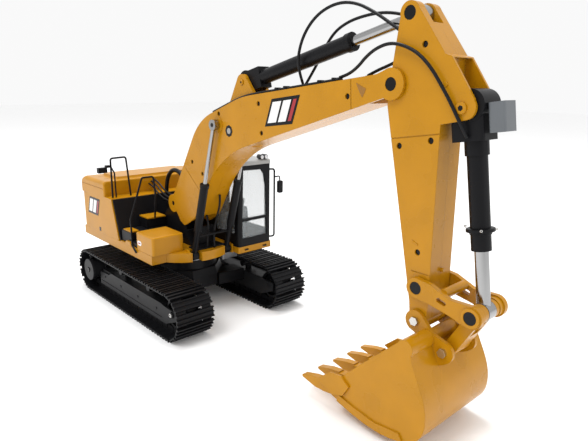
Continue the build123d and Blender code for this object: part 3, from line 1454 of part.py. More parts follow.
FORK_INNER = 6.1
FORK_OUTER = 10.8
OPEN_BORE = PIN_RADIUS + 2.5
with BuildPart() as bucket_link:
    for low, high in ((-FORK_OUTER, -FORK_INNER), (FORK_INNER, FORK_OUTER)):
        plane, length = about_arm(low, high)
        reach = distance(BUCKET_LINK_PIN, CURL_EYE)
        tilt = degrees(atan2(CURL_EYE[1] - BUCKET_LINK_PIN[1], CURL_EYE[0] - BUCKET_LINK_PIN[0]))
        with BuildSketch(plane):
            with Locations(along(BUCKET_LINK_PIN, CURL_EYE, reach / 2)):
                Rectangle(reach, 11, rotation=tilt)
            with Locations(CURL_EYE):
                Circle(7.6)
        extrude(amount=length)
    plane, length = about_arm(-EAR_INNER + 0.5, EAR_INNER - 0.5)
    with BuildSketch(plane):
        with Locations(BUCKET_LINK_PIN):
            Circle(5.6)
    extrude(amount=length)
    plane, length = about_arm(-FORK_INNER, FORK_INNER)
    with BuildSketch(plane):
        with Locations(along(BUCKET_LINK_PIN, CURL_EYE, 12)):
            Rectangle(18, 11, rotation=tilt)
    extrude(amount=length)
    plane, length = about_arm(-20, 20)
    with BuildSketch(plane):
        with Locations(BUCKET_LINK_PIN):
            Circle(2.8 + RUN)
        with Locations(CURL_EYE):
            Circle(OPEN_BORE)
    extrude(amount=length, mode=Mode.SUBTRACT)
save(bucket_link.part, "bucket_link")

# ---------------------------------------------------------------- bucket
BUCKET_WALL = 2.5
BACK = [
    (417, 92), (425.5, 71), (433, 54), (435.5, 38), (430.5, 20.5), (410, 9), (385, 7.5), (360, 11), (335, 17),
]
BACK_INNER = [
    (409, 92), (422.6, 70.5), (430.2, 53.5), (432.7, 38.5), (428.3, 22.5), (409, 11.7), (385, 10.1),
    (360.5, 13.6), (330, 20.4),
]
LIP = (335.0, 17.0)
with BuildPart() as bucket_shell:
    plane, length = about_arm(-BUCKET_HALF, BUCKET_HALF)
    with BuildSketch(plane):
        with BuildLine():
            rear = Spline(*BACK)
            Polyline(rear @ 1, (337, 25), (350, 44), (368, 62), (392, 85), (406, 98), rear @ 0)
        make_face()
    extrude(amount=length)
    plane, length = about_arm(-BUCKET_HALF + BUCKET_WALL, BUCKET_HALF - BUCKET_WALL)
    with BuildSketch(plane):
        with BuildLine():
            inside = Spline(*BACK_INNER)
            Polyline(inside @ 1, (325, 40), (360, 90), (395, 110), inside @ 0)
        make_face()
    extrude(amount=length, mode=Mode.SUBTRACT)
    # torque tube along the top edge
    plane, length = about_arm(-BUCKET_HALF, BUCKET_HALF)
    with BuildSketch(plane):
        with Locations((411.5, 93.5)):
            Circle(7.6)
    extrude(amount=length)
    # ears that hold the stick and the bucket link
    for low, high in ((-EAR_OUTER, -EAR_INNER), (EAR_INNER, EAR_OUTER)):
        plane, length = about_arm(low, high)
        with BuildSketch(plane):
            with Locations(BUCKET_PIN):
                Circle(9.4)
            with Locations(BUCKET_LINK_PIN):
                Circle(9.4)
            ear = [
                (BUCKET_PIN[0] + 5, BUCKET_PIN[1] + 7.8), (417, 99),
                (BUCKET_LINK_PIN[0] + 4, BUCKET_LINK_PIN[1] + 8.5),
                (BUCKET_LINK_PIN[0] + 4, BUCKET_LINK_PIN[1] - 9), (424, 73), (412, 88),
                (BUCKET_PIN[0] - 6, BUCKET_PIN[1] - 7),
            ]
            Polygon(*ear, align=None)
        extrude(amount=length)
    # room between the ears for the stick's end and the bucket link's tube
    plane, length = about_arm(-EAR_INNER, EAR_INNER)
    with BuildSketch(plane):
        with Locations(BUCKET_PIN):
            Circle(13.5)
        with Locations(BUCKET_LINK_PIN):
            Circle(6.4)
    extrude(amount=length, mode=Mode.SUBTRACT)
    plane, length = about_arm(-EAR_OUTER - 1, EAR_OUTER + 1)
    with BuildSketch(plane):
        with Locations(BUCKET_PIN, BUCKET_LINK_PIN):
            Circle(2.8)
    extrude(amount=length, mode=Mode.SUBTRACT)
    # wear strips along the lower side edges
    for low, high in ((-BUCKET_HALF - 1.6, -BUCKET_HALF), (BUCKET_HALF, BUCKET_HALF + 1.6)):
        plane, length = about_arm(low, high)
        with BuildSketch(plane):
            with BuildLine():
                lower = Spline((416, 11.5), (385, 7.5), (360, 11), (343, 15))
                Polyline(lower @ 1, (344, 22), (362, 18), (386, 14.5), (412, 17.5), lower @ 0)
            make_face()
        extrude(amount=length)
save(bucket_shell.part, "bucket_shell")

TOOTH_COUNT = 5
TOOTH_PITCH = 22.0
with BuildPart() as bucket_teeth:
    for i in range(TOOTH_COUNT):
        middle = (i - (TOOTH_COUNT - 1) / 2) * TOOTH_PITCH
        # adapter that straddles the lip
        plane, length = about_arm(middle - 4.6, middle + 4.6)
        with BuildSketch(plane):
            adapter = [(0, -0.6), (0, 4), (13, 2.5), (13, 5), (2, 9.5), (-13, 7.5), (-13, -2.5)]
            Polygon(*[(LIP[0] + x, LIP[1] + z) for x, z in adapter], align=None)
        extrude(amount=length)
        # wedge-shaped tip
        plane, length = about_arm(middle - 3.6, middle + 3.6)
        with BuildSketch(plane):
            tip = [(-13, -3), (-13, 8.6), (-26, 6.5), (-41.6, 2), (-41.4, 0), (-24, -3.6)]
            Polygon(*[(LIP[0] + x, LIP[1] + z) for x, z in tip], align=None)
        extrude(amount=length)
    # side cutters bolted to the side plates
    for low, high in ((-BUCKET_HALF - 2.2, -BUCKET_HALF), (BUCKET_HALF, BUCKET_HALF + 2.2)):
        plane, length = about_arm(low, high)
        with BuildSketch(plane):
            Polygon((318, 27), (333, 40), (347, 42), (357, 35), (350, 23.5), (337, 19), align=None)
        extrude(amount=length)
    add(bucket_shell.part, mode=Mode.SUBTRACT)
save(bucket_teeth.part, "bucket_teeth")

with BuildPart() as bucket_bolts:
    for pin in (BUCKET_PIN, BUCKET_LINK_PIN):
        plane, length = about_arm(-EAR_OUTER, EAR_OUTER)
        with BuildSketch(plane):
            with Locations(pin):
                Circle(2.8)
        extrude(amount=length)
        for low, high in ((-EAR_OUTER - 2.4, -EAR_OUTER), (EAR_OUTER, EAR_OUTER + 2.4)):
            plane, length = about_arm(low, high)
            with BuildSketch(plane):
                with Locations(pin):
                    RegularPolygon(4.1, 6)
            extrude(amount=length)
save(bucket_bolts.part, "bucket_bolts")

# ---------------------------------------------------------------- hoses
BUNDLE_RADIUS = 3.0


def hose(name, points, radius):
    """A hose as straight runs joined by arcs, each as large as its two runs allow."""
    route = [Vector(*point) for point in points]
    radii = []
    for before, here, after in zip(route, route[1:], route[2:]):
        turn = (here - before).get_angle(after - here)
        shorter = min((here - before).length, (after - here).length)
        radii.append(0.45 * shorter / tan(radians(turn) / 2))
    with BuildPart() as body:
        with BuildLine() as path:
            FilletPolyline(*route, radius=radii)
        with BuildSketch(path.line ^ 0):
            Circle(radius)
        sweep(path=path.line)
    length = sum(edge.length for edge in path.edges())
    share = body.part.volume / (pi * radius**2 * length)
    print(name, "length", round(length, 1), "volume share", round(share, 4))
    print("  radii", [round(r, 1) for r in radii])
    return body.part


# from the boom's top over the stick cylinder to the back of the stick
LOOP_ROUTE = [
    (241.4, -9, 296), (241, -14.5, 308), (242.5, -18, 323), (249.5, -17, 343), (265, -15.5, 359),
    (287, -14, 367), (309, -13, 365.5), (331, -12.5, 355.5), (348, -12.5, 345.5), (358.3, -11.5, 339),
    (364.2, -8.9, 333),
]
# from the boom's top, behind the stick cylinder, to its rod's lug
ROD_ROUTE = [
    (236.5, -1, 296), (239, 4.5, 306), (244, 8.5, 318), (253, 9.5, 333), (266, 8.5, 346), (284, 7.5, 353.5),
    (303, 6.5, 356.8), (320, 6, 358), (334, 6, 357), (346, 6, 354.5), (355, 6, 352.4), (361.8, 6, 352),
]
# from the boom's end, in an arch down the stick's right side, to the bucket cylinder's housing
LONG_ROUTE = [
    (297, -17, 303), (308, -18.2, 305.4), (321, -20.5, 312), (331, -22.5, 320), (343, -24, 326.5),
    (357, -24.8, 330), (371, -24.9, 327.5), (385, -24.6, 321), (397, -24.3, 310), (406.5, -24, 297.5),
    (415, -23.6, 285.5), (421.5, -22.8, 274.5), (425.8, -21, 265.8), (428.3, -18.6, 260),
]
# short one on the far side of the elbow
ELBOW_ROUTE = [(312, 4, 305), (322, 4.2, 309.5), (334, 4.6, 313.5), (346, 5, 318.5), (357.8, 5.2, 321.6)]
save(hose("hose_loop", LOOP_ROUTE, HOSE_RADIUS), "hose_loop")
save(hose("hose_rod", ROD_ROUTE, HOSE_RADIUS), "hose_rod")
save(hose("hose_long", LONG_ROUTE, HOSE_RADIUS), "hose_long")
save(hose("hose_elbow", ELBOW_ROUTE, HOSE_RADIUS), "hose_elbow")

# from the casing's front wall into the open foot of the boom, three side by side, and a thick loop
CABLE_RADIUS = 1.2
CABLE_ROUTE = [
    (-74.9, 0, 155), (-62, 0, 152), (-48, 0, 144), (-33, 0, 139), (-18, 0, 138.5), (-4, 0, 143), (8, 0, 153),
]
CABLE_SHIFTS = [(-13, -3), (-9, 0), (-5, 3)]
BUNDLE_ROUTE = [
    (-52, 2, 142), (-50.5, 2, 153), (-44, 1.5, 167), (-30, 0.5, 177), (-13, 0, 177), (1, 0, 168), (12, 0, 158),
]
with BuildPart() as rear_hoses:
    for y, rise in CABLE_SHIFTS:
        add(hose("cable", [(x, y, z + rise) for x, _, z in CABLE_ROUTE], CABLE_RADIUS))
    add(hose("bundle", BUNDLE_ROUTE, BUNDLE_RADIUS))
save(rear_hoses.part, "rear_hoses")

# from the deck's nose to the underside of the boom
BELLY_ROUTES = [
    [(66, -9, DECK_TOP + 0.1), (66.8, -9, 98), (68.6, -8.7, 110), (68.8, -8.3, 121.2), (65, -8, 130.5)],
    [
        (70.5, -1, DECK_TOP + 0.1), (70.5, -1.3, 99), (71.3, -1, 112), (75, -0.6, 125), (80.3, -0.2, 137),
        (83.6, 0.1, 148.3), (83, 0.5, 159.1),
    ],
]
with BuildPart() as belly_hoses:
    for route in BELLY_ROUTES:
        add(hose("belly", route, HOSE_RADIUS))
save(belly_hoses.part, "belly_hoses")
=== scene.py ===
import json
from math import cos, pi, radians, sin

import bmesh
import bpy
from mathutils import Matrix, Vector


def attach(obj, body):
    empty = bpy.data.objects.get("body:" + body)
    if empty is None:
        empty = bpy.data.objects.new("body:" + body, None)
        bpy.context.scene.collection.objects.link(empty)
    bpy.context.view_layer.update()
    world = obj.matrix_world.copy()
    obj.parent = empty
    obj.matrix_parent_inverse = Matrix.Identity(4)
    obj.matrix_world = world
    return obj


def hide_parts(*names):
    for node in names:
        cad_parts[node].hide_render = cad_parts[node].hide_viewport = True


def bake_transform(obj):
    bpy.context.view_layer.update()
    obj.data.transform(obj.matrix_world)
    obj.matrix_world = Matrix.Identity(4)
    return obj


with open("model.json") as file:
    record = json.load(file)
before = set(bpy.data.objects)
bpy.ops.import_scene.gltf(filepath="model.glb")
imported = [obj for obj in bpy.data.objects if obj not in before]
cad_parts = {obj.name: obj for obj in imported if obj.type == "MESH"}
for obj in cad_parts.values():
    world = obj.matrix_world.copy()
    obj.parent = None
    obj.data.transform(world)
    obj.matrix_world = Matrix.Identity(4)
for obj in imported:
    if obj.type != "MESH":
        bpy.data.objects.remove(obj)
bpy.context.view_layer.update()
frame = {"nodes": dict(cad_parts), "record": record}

MM = 0.001
ARM_Y = -5.0  # the arm's plane, in millimetres as all sizes below
BOOM_FACE = ARM_Y - 19.0
BOOM_LEFT_FACE = ARM_Y + 19.0
SIDE_FACE = -81.5  # sides of the upper structure
SIDE_LEFT = 84.5
scene = bpy.context.scene


# ---------------------------------------------------------------- camera and light
CAMERA_PLACE = (637.4, -388.6, 298.6)
CAMERA_YAW, CAMERA_PITCH, CAMERA_ROLL = 136.94, 14.36, 0.89  # degrees; pitch looks down
CAMERA_LENS = 33.16
WORLD_STRENGTH = 0.95
STUDIO_MIDDLE = (0.2, -0.02, 0.12)  # metres, as the lights' places
FLOOR_HALF = 6.0
FLOOR_TONE = 0.97


def set_camera():
    place = Vector(CAMERA_PLACE) * MM
    yaw, pitch, roll = radians(CAMERA_YAW), radians(CAMERA_PITCH), radians(CAMERA_ROLL)
    ahead = Vector((cos(yaw) * cos(pitch), sin(yaw) * cos(pitch), -sin(pitch)))
    side = Vector((sin(yaw), -cos(yaw), 0))
    up = side.cross(ahead)
    right = side * cos(roll) + up * sin(roll)
    top = up * cos(roll) - side * sin(roll)
    data = bpy.data.cameras.new("camera")
    data.sensor_width = 36
    data.lens = CAMERA_LENS
    data.clip_start = 0.01
    camera = bpy.data.objects.new("camera", data)
    scene.collection.objects.link(camera)
    turn = Matrix((right, top, -ahead)).transposed().to_4x4()
    camera.matrix_world = Matrix.Translation(place) @ turn
    scene.camera = camera


def area_light(name, place, aim, power, size, color=(1, 1, 1)):
    data = bpy.data.lights.new(name, "AREA")
    data.energy = power
    data.size = size
    data.color = color
    lamp = bpy.data.objects.new(name, data)
    lamp.location = place
    lamp.rotation_euler = (Vector(aim) - Vector(place)).to_track_quat("-Z", "Y").to_euler()
    scene.collection.objects.link(lamp)


def set_studio():
    world = bpy.data.worlds.new("studio")
    world.use_nodes = True
    world.node_tree.nodes["Background"].inputs["Color"].default_value = (1, 1, 1, 1)
    world.node_tree.nodes["Background"].inputs["Strength"].default_value = WORLD_STRENGTH
    scene.world = world
    scene.view_settings.view_transform = "Standard"
    area_light("key", (0.2, -1.1, 2.0), STUDIO_MIDDLE, 16, 0.8)
    area_light("top", (-0.3, 0.3, 2.0), STUDIO_MIDDLE, 22, 0.9)
    area_light("fill", (1.9, 0.3, 0.6), STUDIO_MIDDLE, 2.5, 1.0)
    mesh = bpy.data.meshes.new("floor")
    corners = [(-1, -1), (1, -1), (1, 1), (-1, 1)]
    mesh.from_pydata([(x * FLOOR_HALF, y * FLOOR_HALF, 0) for x, y in corners], [], [(0, 1, 2, 3)])
    floor = bpy.data.objects.new("floor", mesh)
    scene.collection.objects.link(floor)
    paper = bpy.data.materials.new("floor_paper")
    paper.use_nodes = True
    shader = paper.node_tree.nodes["Principled BSDF"]
    shader.inputs["Base Color"].default_value = (FLOOR_TONE, FLOOR_TONE, FLOOR_TONE, 1)
    shader.inputs["Roughness"].default_value = 0.9
    mesh.materials.append(paper)


set_camera()
set_studio()


# ---------------------------------------------------------------- materials
def finish(name, color, roughness, metallic=0.0, mottle=0.06, grain=900.0, relief=0.05, soften=0.5, coat=0.0,
           wear=0.12, shine=0.5):
    """A moulded or painted surface: slight mottling, a fine grain, uneven gloss and softened edges."""
    material = bpy.data.materials.new(name)
    material.use_nodes = True
    nodes, links = material.node_tree.nodes, material.node_tree.links
    shader = nodes["Principled BSDF"]
    shader.inputs["Metallic"].default_value = metallic
    shader.inputs["Specular IOR Level"].default_value = shine
    shader.inputs["Coat Weight"].default_value = coat
    shader.inputs["Coat Roughness"].default_value = 0.08
    place = nodes.new("ShaderNodeTexCoord")
    broad = nodes.new("ShaderNodeTexNoise")
    broad.inputs["Scale"].default_value = 38
    broad.inputs["Detail"].default_value = 5
    links.new(place.outputs["Object"], broad.inputs["Vector"])
    fine = nodes.new("ShaderNodeTexNoise")
    fine.inputs["Scale"].default_value = grain
    fine.inputs["Detail"].default_value = 2
    links.new(place.outputs["Object"], fine.inputs["Vector"])
    tint = nodes.new("ShaderNodeValToRGB")
    low, high = tint.color_ramp.elements
    low.position, high.position = 0.3, 0.7
    low.color = [c * (1 - mottle) for c in color] + [1]
    high.color = [min(1.0, c * (1 + mottle)) for c in color] + [1]
    links.new(broad.outputs["Fac"], tint.inputs["Fac"])
    links.new(tint.outputs["Color"], shader.inputs["Base Color"])
    gloss = nodes.new("ShaderNodeMapRange")
    gloss.inputs["To Min"].default_value = max(0.02, roughness * (1 - wear))
    gloss.inputs["To Max"].default_value = roughness * (1 + wear)
    links.new(broad.outputs["Fac"], gloss.inputs["Value"])
    links.new(gloss.outputs["Result"], shader.inputs["Roughness"])
    bump = nodes.new("ShaderNodeBump")
    bump.inputs["Strength"].default_value = relief
    bump.inputs["Distance"].default_value = 0.0002
    links.new(fine.outputs["Fac"], bump.inputs["Height"])
    if soften > 0:
        edge = nodes.new("ShaderNodeBevel")
        edge.samples = 3
        edge.inputs["Radius"].default_value = soften * MM
        links.new(edge.outputs["Normal"], bump.inputs["Normal"])
    links.new(bump.outputs["Normal"], shader.inputs["Normal"])
    return material


def clear_finish(name, color, roughness, alpha):
    """Clear plastic: a thin pane that lets most light through, with faint waviness."""
    material = finish(name, color, roughness, mottle=0.02, relief=0.02, soften=0)
    shader = material.node_tree.nodes["Principled BSDF"]
    shader.inputs["Alpha"].default_value = alpha
    shader.inputs["Specular IOR Level"].default_value = 0.8
    return material


YELLOW = (0.45, 0.2, 0.003)
MATERIALS = {
    "yellow_paint": finish("yellow_paint", YELLOW, 0.3, coat=0.12, soften=0.8, shine=0.2),
    "arm_plastic": finish("arm_plastic", YELLOW, 0.28, coat=0.12, soften=0.7, shine=0.2),
    "tooth_yellow": finish("tooth_yellow", YELLOW, 0.34, coat=0.1, soften=0.6, shine=0.2),
    "weight_yellow": finish("weight_yellow", YELLOW, 0.33, coat=0.1, soften=1.0, shine=0.2),
    "black_plastic": finish("black_plastic", (0.006, 0.006, 0.007), 0.36, grain=1400, relief=0.12,
                            shine=0.12),
    "pin_black": finish("pin_black", (0.004, 0.004, 0.005), 0.22, shine=0.2),
    "dark_frame": finish("dark_frame", (0.012, 0.012, 0.013), 0.42, relief=0.1, shine=0.15),
    "track_metal": finish("track_metal", (0.006, 0.006, 0.007), 0.4, relief=0.12, soften=0.35, wear=0.3,
                          shine=0.16),
    "bearing_steel": finish("bearing_steel", (0.4, 0.4, 0.41), 0.35, metallic=1.0),
    "chrome_rod": finish("chrome_rod", (0.34, 0.34, 0.34), 0.16, metallic=1.0, mottle=0.02, relief=0.01,
                         soften=0.3),
    "screw_steel": finish("screw_steel", (0.55, 0.54, 0.52), 0.28, metallic=1.0, soften=0.4),
    "roof_grey": finish("roof_grey", (0.3, 0.3, 0.29), 0.35, soften=0.8),
    "seat_black": finish("seat_black", (0.016, 0.016, 0.019), 0.6, grain=500, relief=0.3),
    "hose_rubber": finish("hose_rubber", (0.005, 0.005, 0.006), 0.38, grain=2200, relief=0.2, soften=0,
                          shine=0.2),
    "battery_blue": finish("battery_blue", (0.03, 0.09, 0.3), 0.35),
    "board_green": finish("board_green", (0.01, 0.12, 0.04), 0.4),
    "motor_grey": finish("motor_grey", (0.11, 0.12, 0.13), 0.35),
    "lamp_clear": finish("lamp_clear", (0.012, 0.012, 0.014), 0.3),
    "cab_glass": clear_finish("cab_glass", (0.55, 0.6, 0.62), 0.04, 0.22),
    # darker yellow: the colour of the hood's seam lines, and painted shade on the recesses at the boom's end
    "yellow_seams_and_painted_shade": finish("yellow_seams_and_painted_shade", (0.26, 0.11, 0.003), 0.35, coat=0.2, soften=0.1),
    "mark_white": finish("mark_white", (0.75, 0.75, 0.74), 0.3, soften=0),
    "mark_red": finish("mark_red", (0.32, 0.012, 0.02), 0.3, soften=0),
    "mark_grey": finish("mark_grey", (0.3, 0.29, 0.27), 0.35, soften=0),
    "lamp_lens": finish("lamp_lens", (0.55, 0.56, 0.58), 0.1, coat=0.6, soften=0),
}
# each CAD part of the record takes the finish of its material slot
for part in frame["record"]["subparts"]:
    mesh = frame["nodes"][part["node"]].data
    mesh.materials.clear()
    mesh.materials.append(MATERIALS[part["material_slot"]])


# ---------------------------------------------------------------- building helpers
def add_object(name, mesh, slot, body=None):
    piece = bpy.data.objects.new(name, mesh)
    scene.collection.objects.link(piece)
    piece.data.materials.append(MATERIALS[slot])
    if body:
        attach(piece, body)
    return piece


def soften_edges(mesh, width):
    """Rounds a closed mesh's sharp edges by width millimetres."""
    shape = bmesh.new()
    shape.from_mesh(mesh)
    bmesh.ops.recalc_face_normals(shape, faces=shape.faces)
    if width > 0:
        sharp = [edge for edge in shape.edges if edge.calc_face_angle(0) > 0.6]
        bmesh.ops.bevel(shape, geom=sharp, offset=width * MM, segments=2, profile=0.5, affect="EDGES")
    shape.to_mesh(mesh)
    shape.free()


def prism(name, outline, axis, low, high, slot, body, width=0.3):
    """A plate whose outline lies across an axis: (x, z) across y, (y, z) across x, (x, y) across z."""
    def corner(a, b, height):
        return {"x": (height, a, b), "y": (a, height, b), "z": (a, b, height)}[axis]

    count = len(outline)
    vertices = [Vector(corner(a, b, height)) * MM for height in (low, high) for a, b in outline]
    sides = [(i, (i + 1) % count, (i + 1) % count + count, i + count) for i in range(count)]
    mesh = bpy.data.meshes.new(name)
    mesh.from_pydata(vertices, [], [tuple(range(count)), tuple(range(count, 2 * count))] + sides)
    soften_edges(mesh, width)
    return add_object(name, mesh, slot, body)


def oblong(name, low, high, slot, body, width=0.4):
    """A box-shaped piece with softened edges, from its lowest to its highest corner."""
    outline = [(low[0], low[2]), (high[0], low[2]), (high[0], high[2]), (low[0], high[2])]
    return prism(name, outline, "y", low[1], high[1], slot, body, width)


def turned(name, profile, place, axis, slot, body, sides=28):
    """A piece turned about an axis; profile is (radius, height along the axis) from base to top."""
    along = Vector(axis).normalized()
    first = along.orthogonal().normalized()
    second = along.cross(first)
    base = Vector(place)
    vertices, faces = [], []
    for radius, height in profile:
        for k in range(sides):
            turn = 2 * pi * k / sides
            vertices.append((base + along * height + (first * cos(turn) + second * sin(turn)) * radius) * MM)
    for row in range(len(profile) - 1):
        for k in range(sides):
            a, b = row * sides + k, row * sides + (k + 1) % sides
            faces.append((a, b, b + sides, a + sides))
    faces.append(tuple(range(sides)))
    faces.append(tuple(range((len(profile) - 1) * sides, len(profile) * sides)))
    mesh = bpy.data.meshes.new(name)
    mesh.from_pydata(vertices, [], faces)
    soften_edges(mesh, 0)
    for face in mesh.polygons:
        face.use_smooth = len(face.vertices) == 4
    mesh.set_sharp_from_angle(angle=radians(35))
    return add_object(name, mesh, slot, body)


def disc(name, radius, height, place, axis, slot, body, sides=28):
    """A low round piece with a rounded rim."""
    rim = min(0.3, height / 3)
    profile = [(radius, 0), (radius, height - rim), (radius - rim, height)]
    return turned(name, profile, place, axis, slot, body, sides)


def socket_screw(name, radius, height, place, axis, slot, body):
    """A round screw head whose hexagonal socket is a thin black hexagon on top: painted shade in place of the
    recess.
    """
    disc(name, radius, height, place, axis, slot, body)
    top = Vector(place) + Vector(axis).normalized() * (height - 0.25)
    socket = [(radius * 0.48, 0), (radius * 0.48, 0.3)]
    turned(name + "_socket", socket, top, axis, "pin_black", body, sides=6)


def pipe(name, points, radius, slot, body):
    """A rigid pipe along a smooth line."""
    line = line_of(route_curve(name, points))
    return add_object(name, tube_mesh(name, line, radius), slot, body)


# ---------------------------------------------------------------- lines and tubes
def route_curve(name, points):
    """The smooth line of a hose: a NURBS spline with the route's points as its control points."""
    curve = bpy.data.curves.new(name, "CURVE")
    curve.dimensions = "3D"
    spline = curve.splines.new("NURBS")
    spline.points.add(len(points) - 1)
    for control, (x, y, z) in zip(spline.points, points):
        control.co = (x * MM, y * MM, z * MM, 1)
    spline.order_u = 3
    spline.use_endpoint_u = True
    curve.resolution_u = 12
    return curve


def line_of(curve):
    """The points along a route's line, read from the curve itself."""
    probe = bpy.data.objects.new("probe", curve)
    scene.collection.objects.link(probe)
    bpy.context.view_layer.update()
    mesh = bpy.data.meshes.new_from_object(probe)
    line = [vertex.co.copy() for vertex in mesh.vertices]
    bpy.data.objects.remove(probe)
    bpy.data.meshes.remove(mesh)
    return line


def tube_mesh(name, line, radius, sides=14, ribs=0.0):
    """A closed tube round a line; ribs is the height of a corrugated sleeve's rings."""
    mesh = bpy.data.meshes.new(name)
    vertices, faces = [], []
    across = Vector((0, 1, 0))
    for i, here in enumerate(line):
        ahead = (line[min(i + 1, len(line) - 1)] - line[max(i - 1, 0)]).normalized()
        first = (across - ahead * across.dot(ahead)).normalized()
        across = first
        second = ahead.cross(first)
        reach = (radius - ribs * (i % 2)) * MM
        for k in range(sides):
            turn = 2 * pi * k / sides
            vertices.append(here + (first * cos(turn) + second * sin(turn)) * reach)
    for i in range(len(line) - 1):
        for k in range(sides):
            a, b = i * sides + k, i * sides + (k + 1) % sides
            faces.append((a, b, b + sides, a + sides))
    faces.append(tuple(reversed(range(sides))))
    faces.append(tuple(range((len(line) - 1) * sides, len(line) * sides)))
    mesh.from_pydata(vertices, [], faces)
    for face in mesh.polygons:
        face.use_smooth = len(face.vertices) == 4
    return mesh


# ---------------------------------------------------------------- hoses
HOSE_RADIUS = 1.4
BUNDLE_RADIUS = 3.0
SLEEVE_RIB = 0.35  # height of the thick hose's rings
CABLE_RADIUS = 1.2
HOSES = {
    "hose_loop": [
        (241.4, -9, 296), (241, -14.5, 308), (242.5, -18, 323), (249.5, -17, 343), (265, -15.5, 359),
        (287, -14, 367), (309, -13, 365.5), (331, -12.5, 355.5), (348, -12.5, 345.5), (358.3, -11.5, 339),
        (364.2, -8.9, 333),
    ],
    "hose_rod": [
        (236.5, -1, 296), (239, 4.5, 306), (244, 8.5, 318), (253, 9.5, 333), (266, 8.5, 346),
        (284, 7.5, 353.5), (303, 6.5, 356.8), (320, 6, 358), (334, 6, 357), (346, 6, 354.5),
        (355, 6, 352.4), (361.8, 6, 352),
    ],
    "hose_long": [
        (297, -17, 303), (308, -18.2, 305.4), (321, -20.5, 312), (331, -22.5, 320), (343, -24, 326.5),
        (357, -24.8, 330), (371, -24.9, 327.5), (385, -24.6, 321), (397, -24.3, 310), (406.5, -24, 297.5),
        (415, -23.6, 285.5), (421.5, -22.8, 274.5), (425.8, -21, 265.8), (428.3, -18.6, 260),
    ],
    "hose_elbow": [(312, 4, 305), (322, 4.2, 309.5), (334, 4.6, 313.5), (346, 5, 318.5), (357.8, 5.2, 321.6)],
}
CABLE_ROUTE = [
    (-74.9, 0, 155), (-62, 0, 152), (-48, 0, 144), (-33, 0, 139), (-18, 0, 138.5), (-4, 0, 143), (8, 0, 153),
]
CABLE_SHIFTS = [(-13, -3), (-9, 0), (-5, 3)]
BUNDLE_ROUTE = [
    (-52, 2, 142), (-50.5, 2, 153), (-44, 1.5, 167), (-30, 0.5, 177), (-13, 0, 177), (1, 0, 168),
    (12, 0, 158),
]
BELLY_ROUTES = [
    [(66, -9, 86.6), (66.8, -9, 98), (68.6, -8.7, 110), (68.8, -8.3, 121.2), (65, -8, 130.5)],
    [
        (70.5, -1, 86.6), (70.5, -1.3, 99), (71.3, -1, 112), (75, -0.6, 125), (80.3, -0.2, 137),
        (83.6, 0.1, 148.3), (83, 0.5, 159.1),
    ],
]


def hose(name, points, radius, node, ribs=0.0):
    """A hose: a fixed tube along its route, attached to no body, in place of the CAD node, which it hides."""
    line = line_of(route_curve(name, points))
    piece = add_object(name, tube_mesh(name, line, radius, ribs=ribs), "hose_rubber")
    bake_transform(piece)
    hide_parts(node)


for name, points in HOSES.items():
    hose(name + "_line", points, HOSE_RADIUS, name)
for number, (y, rise) in enumerate(CABLE_SHIFTS):
    hose(f"rear_cable_{number}", [(a, b + y, c + rise) for a, b, c in CABLE_ROUTE], CABLE_RADIUS,
         "rear_hoses")
hose("rear_bundle", BUNDLE_ROUTE, BUNDLE_RADIUS, "rear_hoses", ribs=SLEEVE_RIB)
for number, points in enumerate(BELLY_ROUTES):
    hose(f"belly_hose_{number}", points, HOSE_RADIUS, "belly_hoses")


# ---------------------------------------------------------------- marks
# where the bars stand across a mark, as shares of its half width, with their colours
MARK_BARS = [(-0.68, -0.18, "white"), (-0.06, 0.38, "white"), (0.5, 0.68, "red")]


def emblem(name, centre, size, lean, face, outward, body):
    """A generic panel mark: a slanted dark plate with two pale bars and a thin red one."""
    across, tall = size[0] / 2, size[1] / 2

    def layer(part, outline, slot, start, thickness):
        points = [(centre[0] + x * across, centre[1] + z * tall + x * across * lean) for x, z in outline]
        low, high = sorted((face + outward * start, face + outward * (start + thickness)))
        prism(f"{name}_{part}", points, "y", low, high, slot, body, width=0.05)

    def slanted(start, end, height):
        slant = 0.2 * height
        low_edge = [(start - slant, -height), (end - slant, -height)]
        return low_edge + [(end + slant, height), (start + slant, height)]

    layer("plate", slanted(-0.8, 0.8, 1), "pin_black", -0.1, 0.3)
    for number, (start, end, slot) in enumerate(MARK_BARS):
        layer(f"bar_{number}", slanted(start, end, 0.76), f"mark_{slot}", 0.15, 0.15)


emblem("boom_mark_right", (227, 270), (52, 27), 0.13, BOOM_FACE, -1, "boom")
emblem("boom_mark_left", (227, 270), (52, 27), 0.13, BOOM_LEFT_FACE, 1, "boom")
emblem("side_mark_right", (-112, 122), (42, 25), 0, SIDE_FACE, -1, "upper")
emblem("side_mark_left", (-112, 122), (42, 25), 0, SIDE_LEFT, 1, "upper")


def small_badge(name, place, axis, body):
    """A dark eight-sided badge with a pale ring."""
    disc(name, 6.6, 0.35, place, axis, "pin_black", body, sides=8)
    raised = Vector(place) + Vector(axis) * 0.3
    turned(name + "_ring", [(3.4, 0), (3.2, 0.2), (2.2, 0.2)], raised, axis, "mark_grey", body, sides=20)


small_badge("foot_badge_right", (138, BOOM_FACE, 244), (0, -1, 0), "boom")
small_badge("foot_badge_left", (138, BOOM_LEFT_FACE, 244), (0, 1, 0), "boom")
# a pale six-sided badge with a red bar, on the tool box
BADGE_OUTLINE = [(17.5, 93.5), (24.5, 93.5), (26.5, 96.5), (24.5, 99.5), (17.5, 99.5), (15.5, 96.5)]
BADGE_BAR = [(18, 95.6), (23.4, 95.6), (24.2, 97.4), (18.8, 97.4)]
prism("box_badge", BADGE_OUTLINE, "y", -81.5, -81.1, "mark_white", "upper", width=0.1)
prism("box_badge_bar", BADGE_BAR, "y", -81.65, -81.4, "mark_red", "upper", width=0.05)


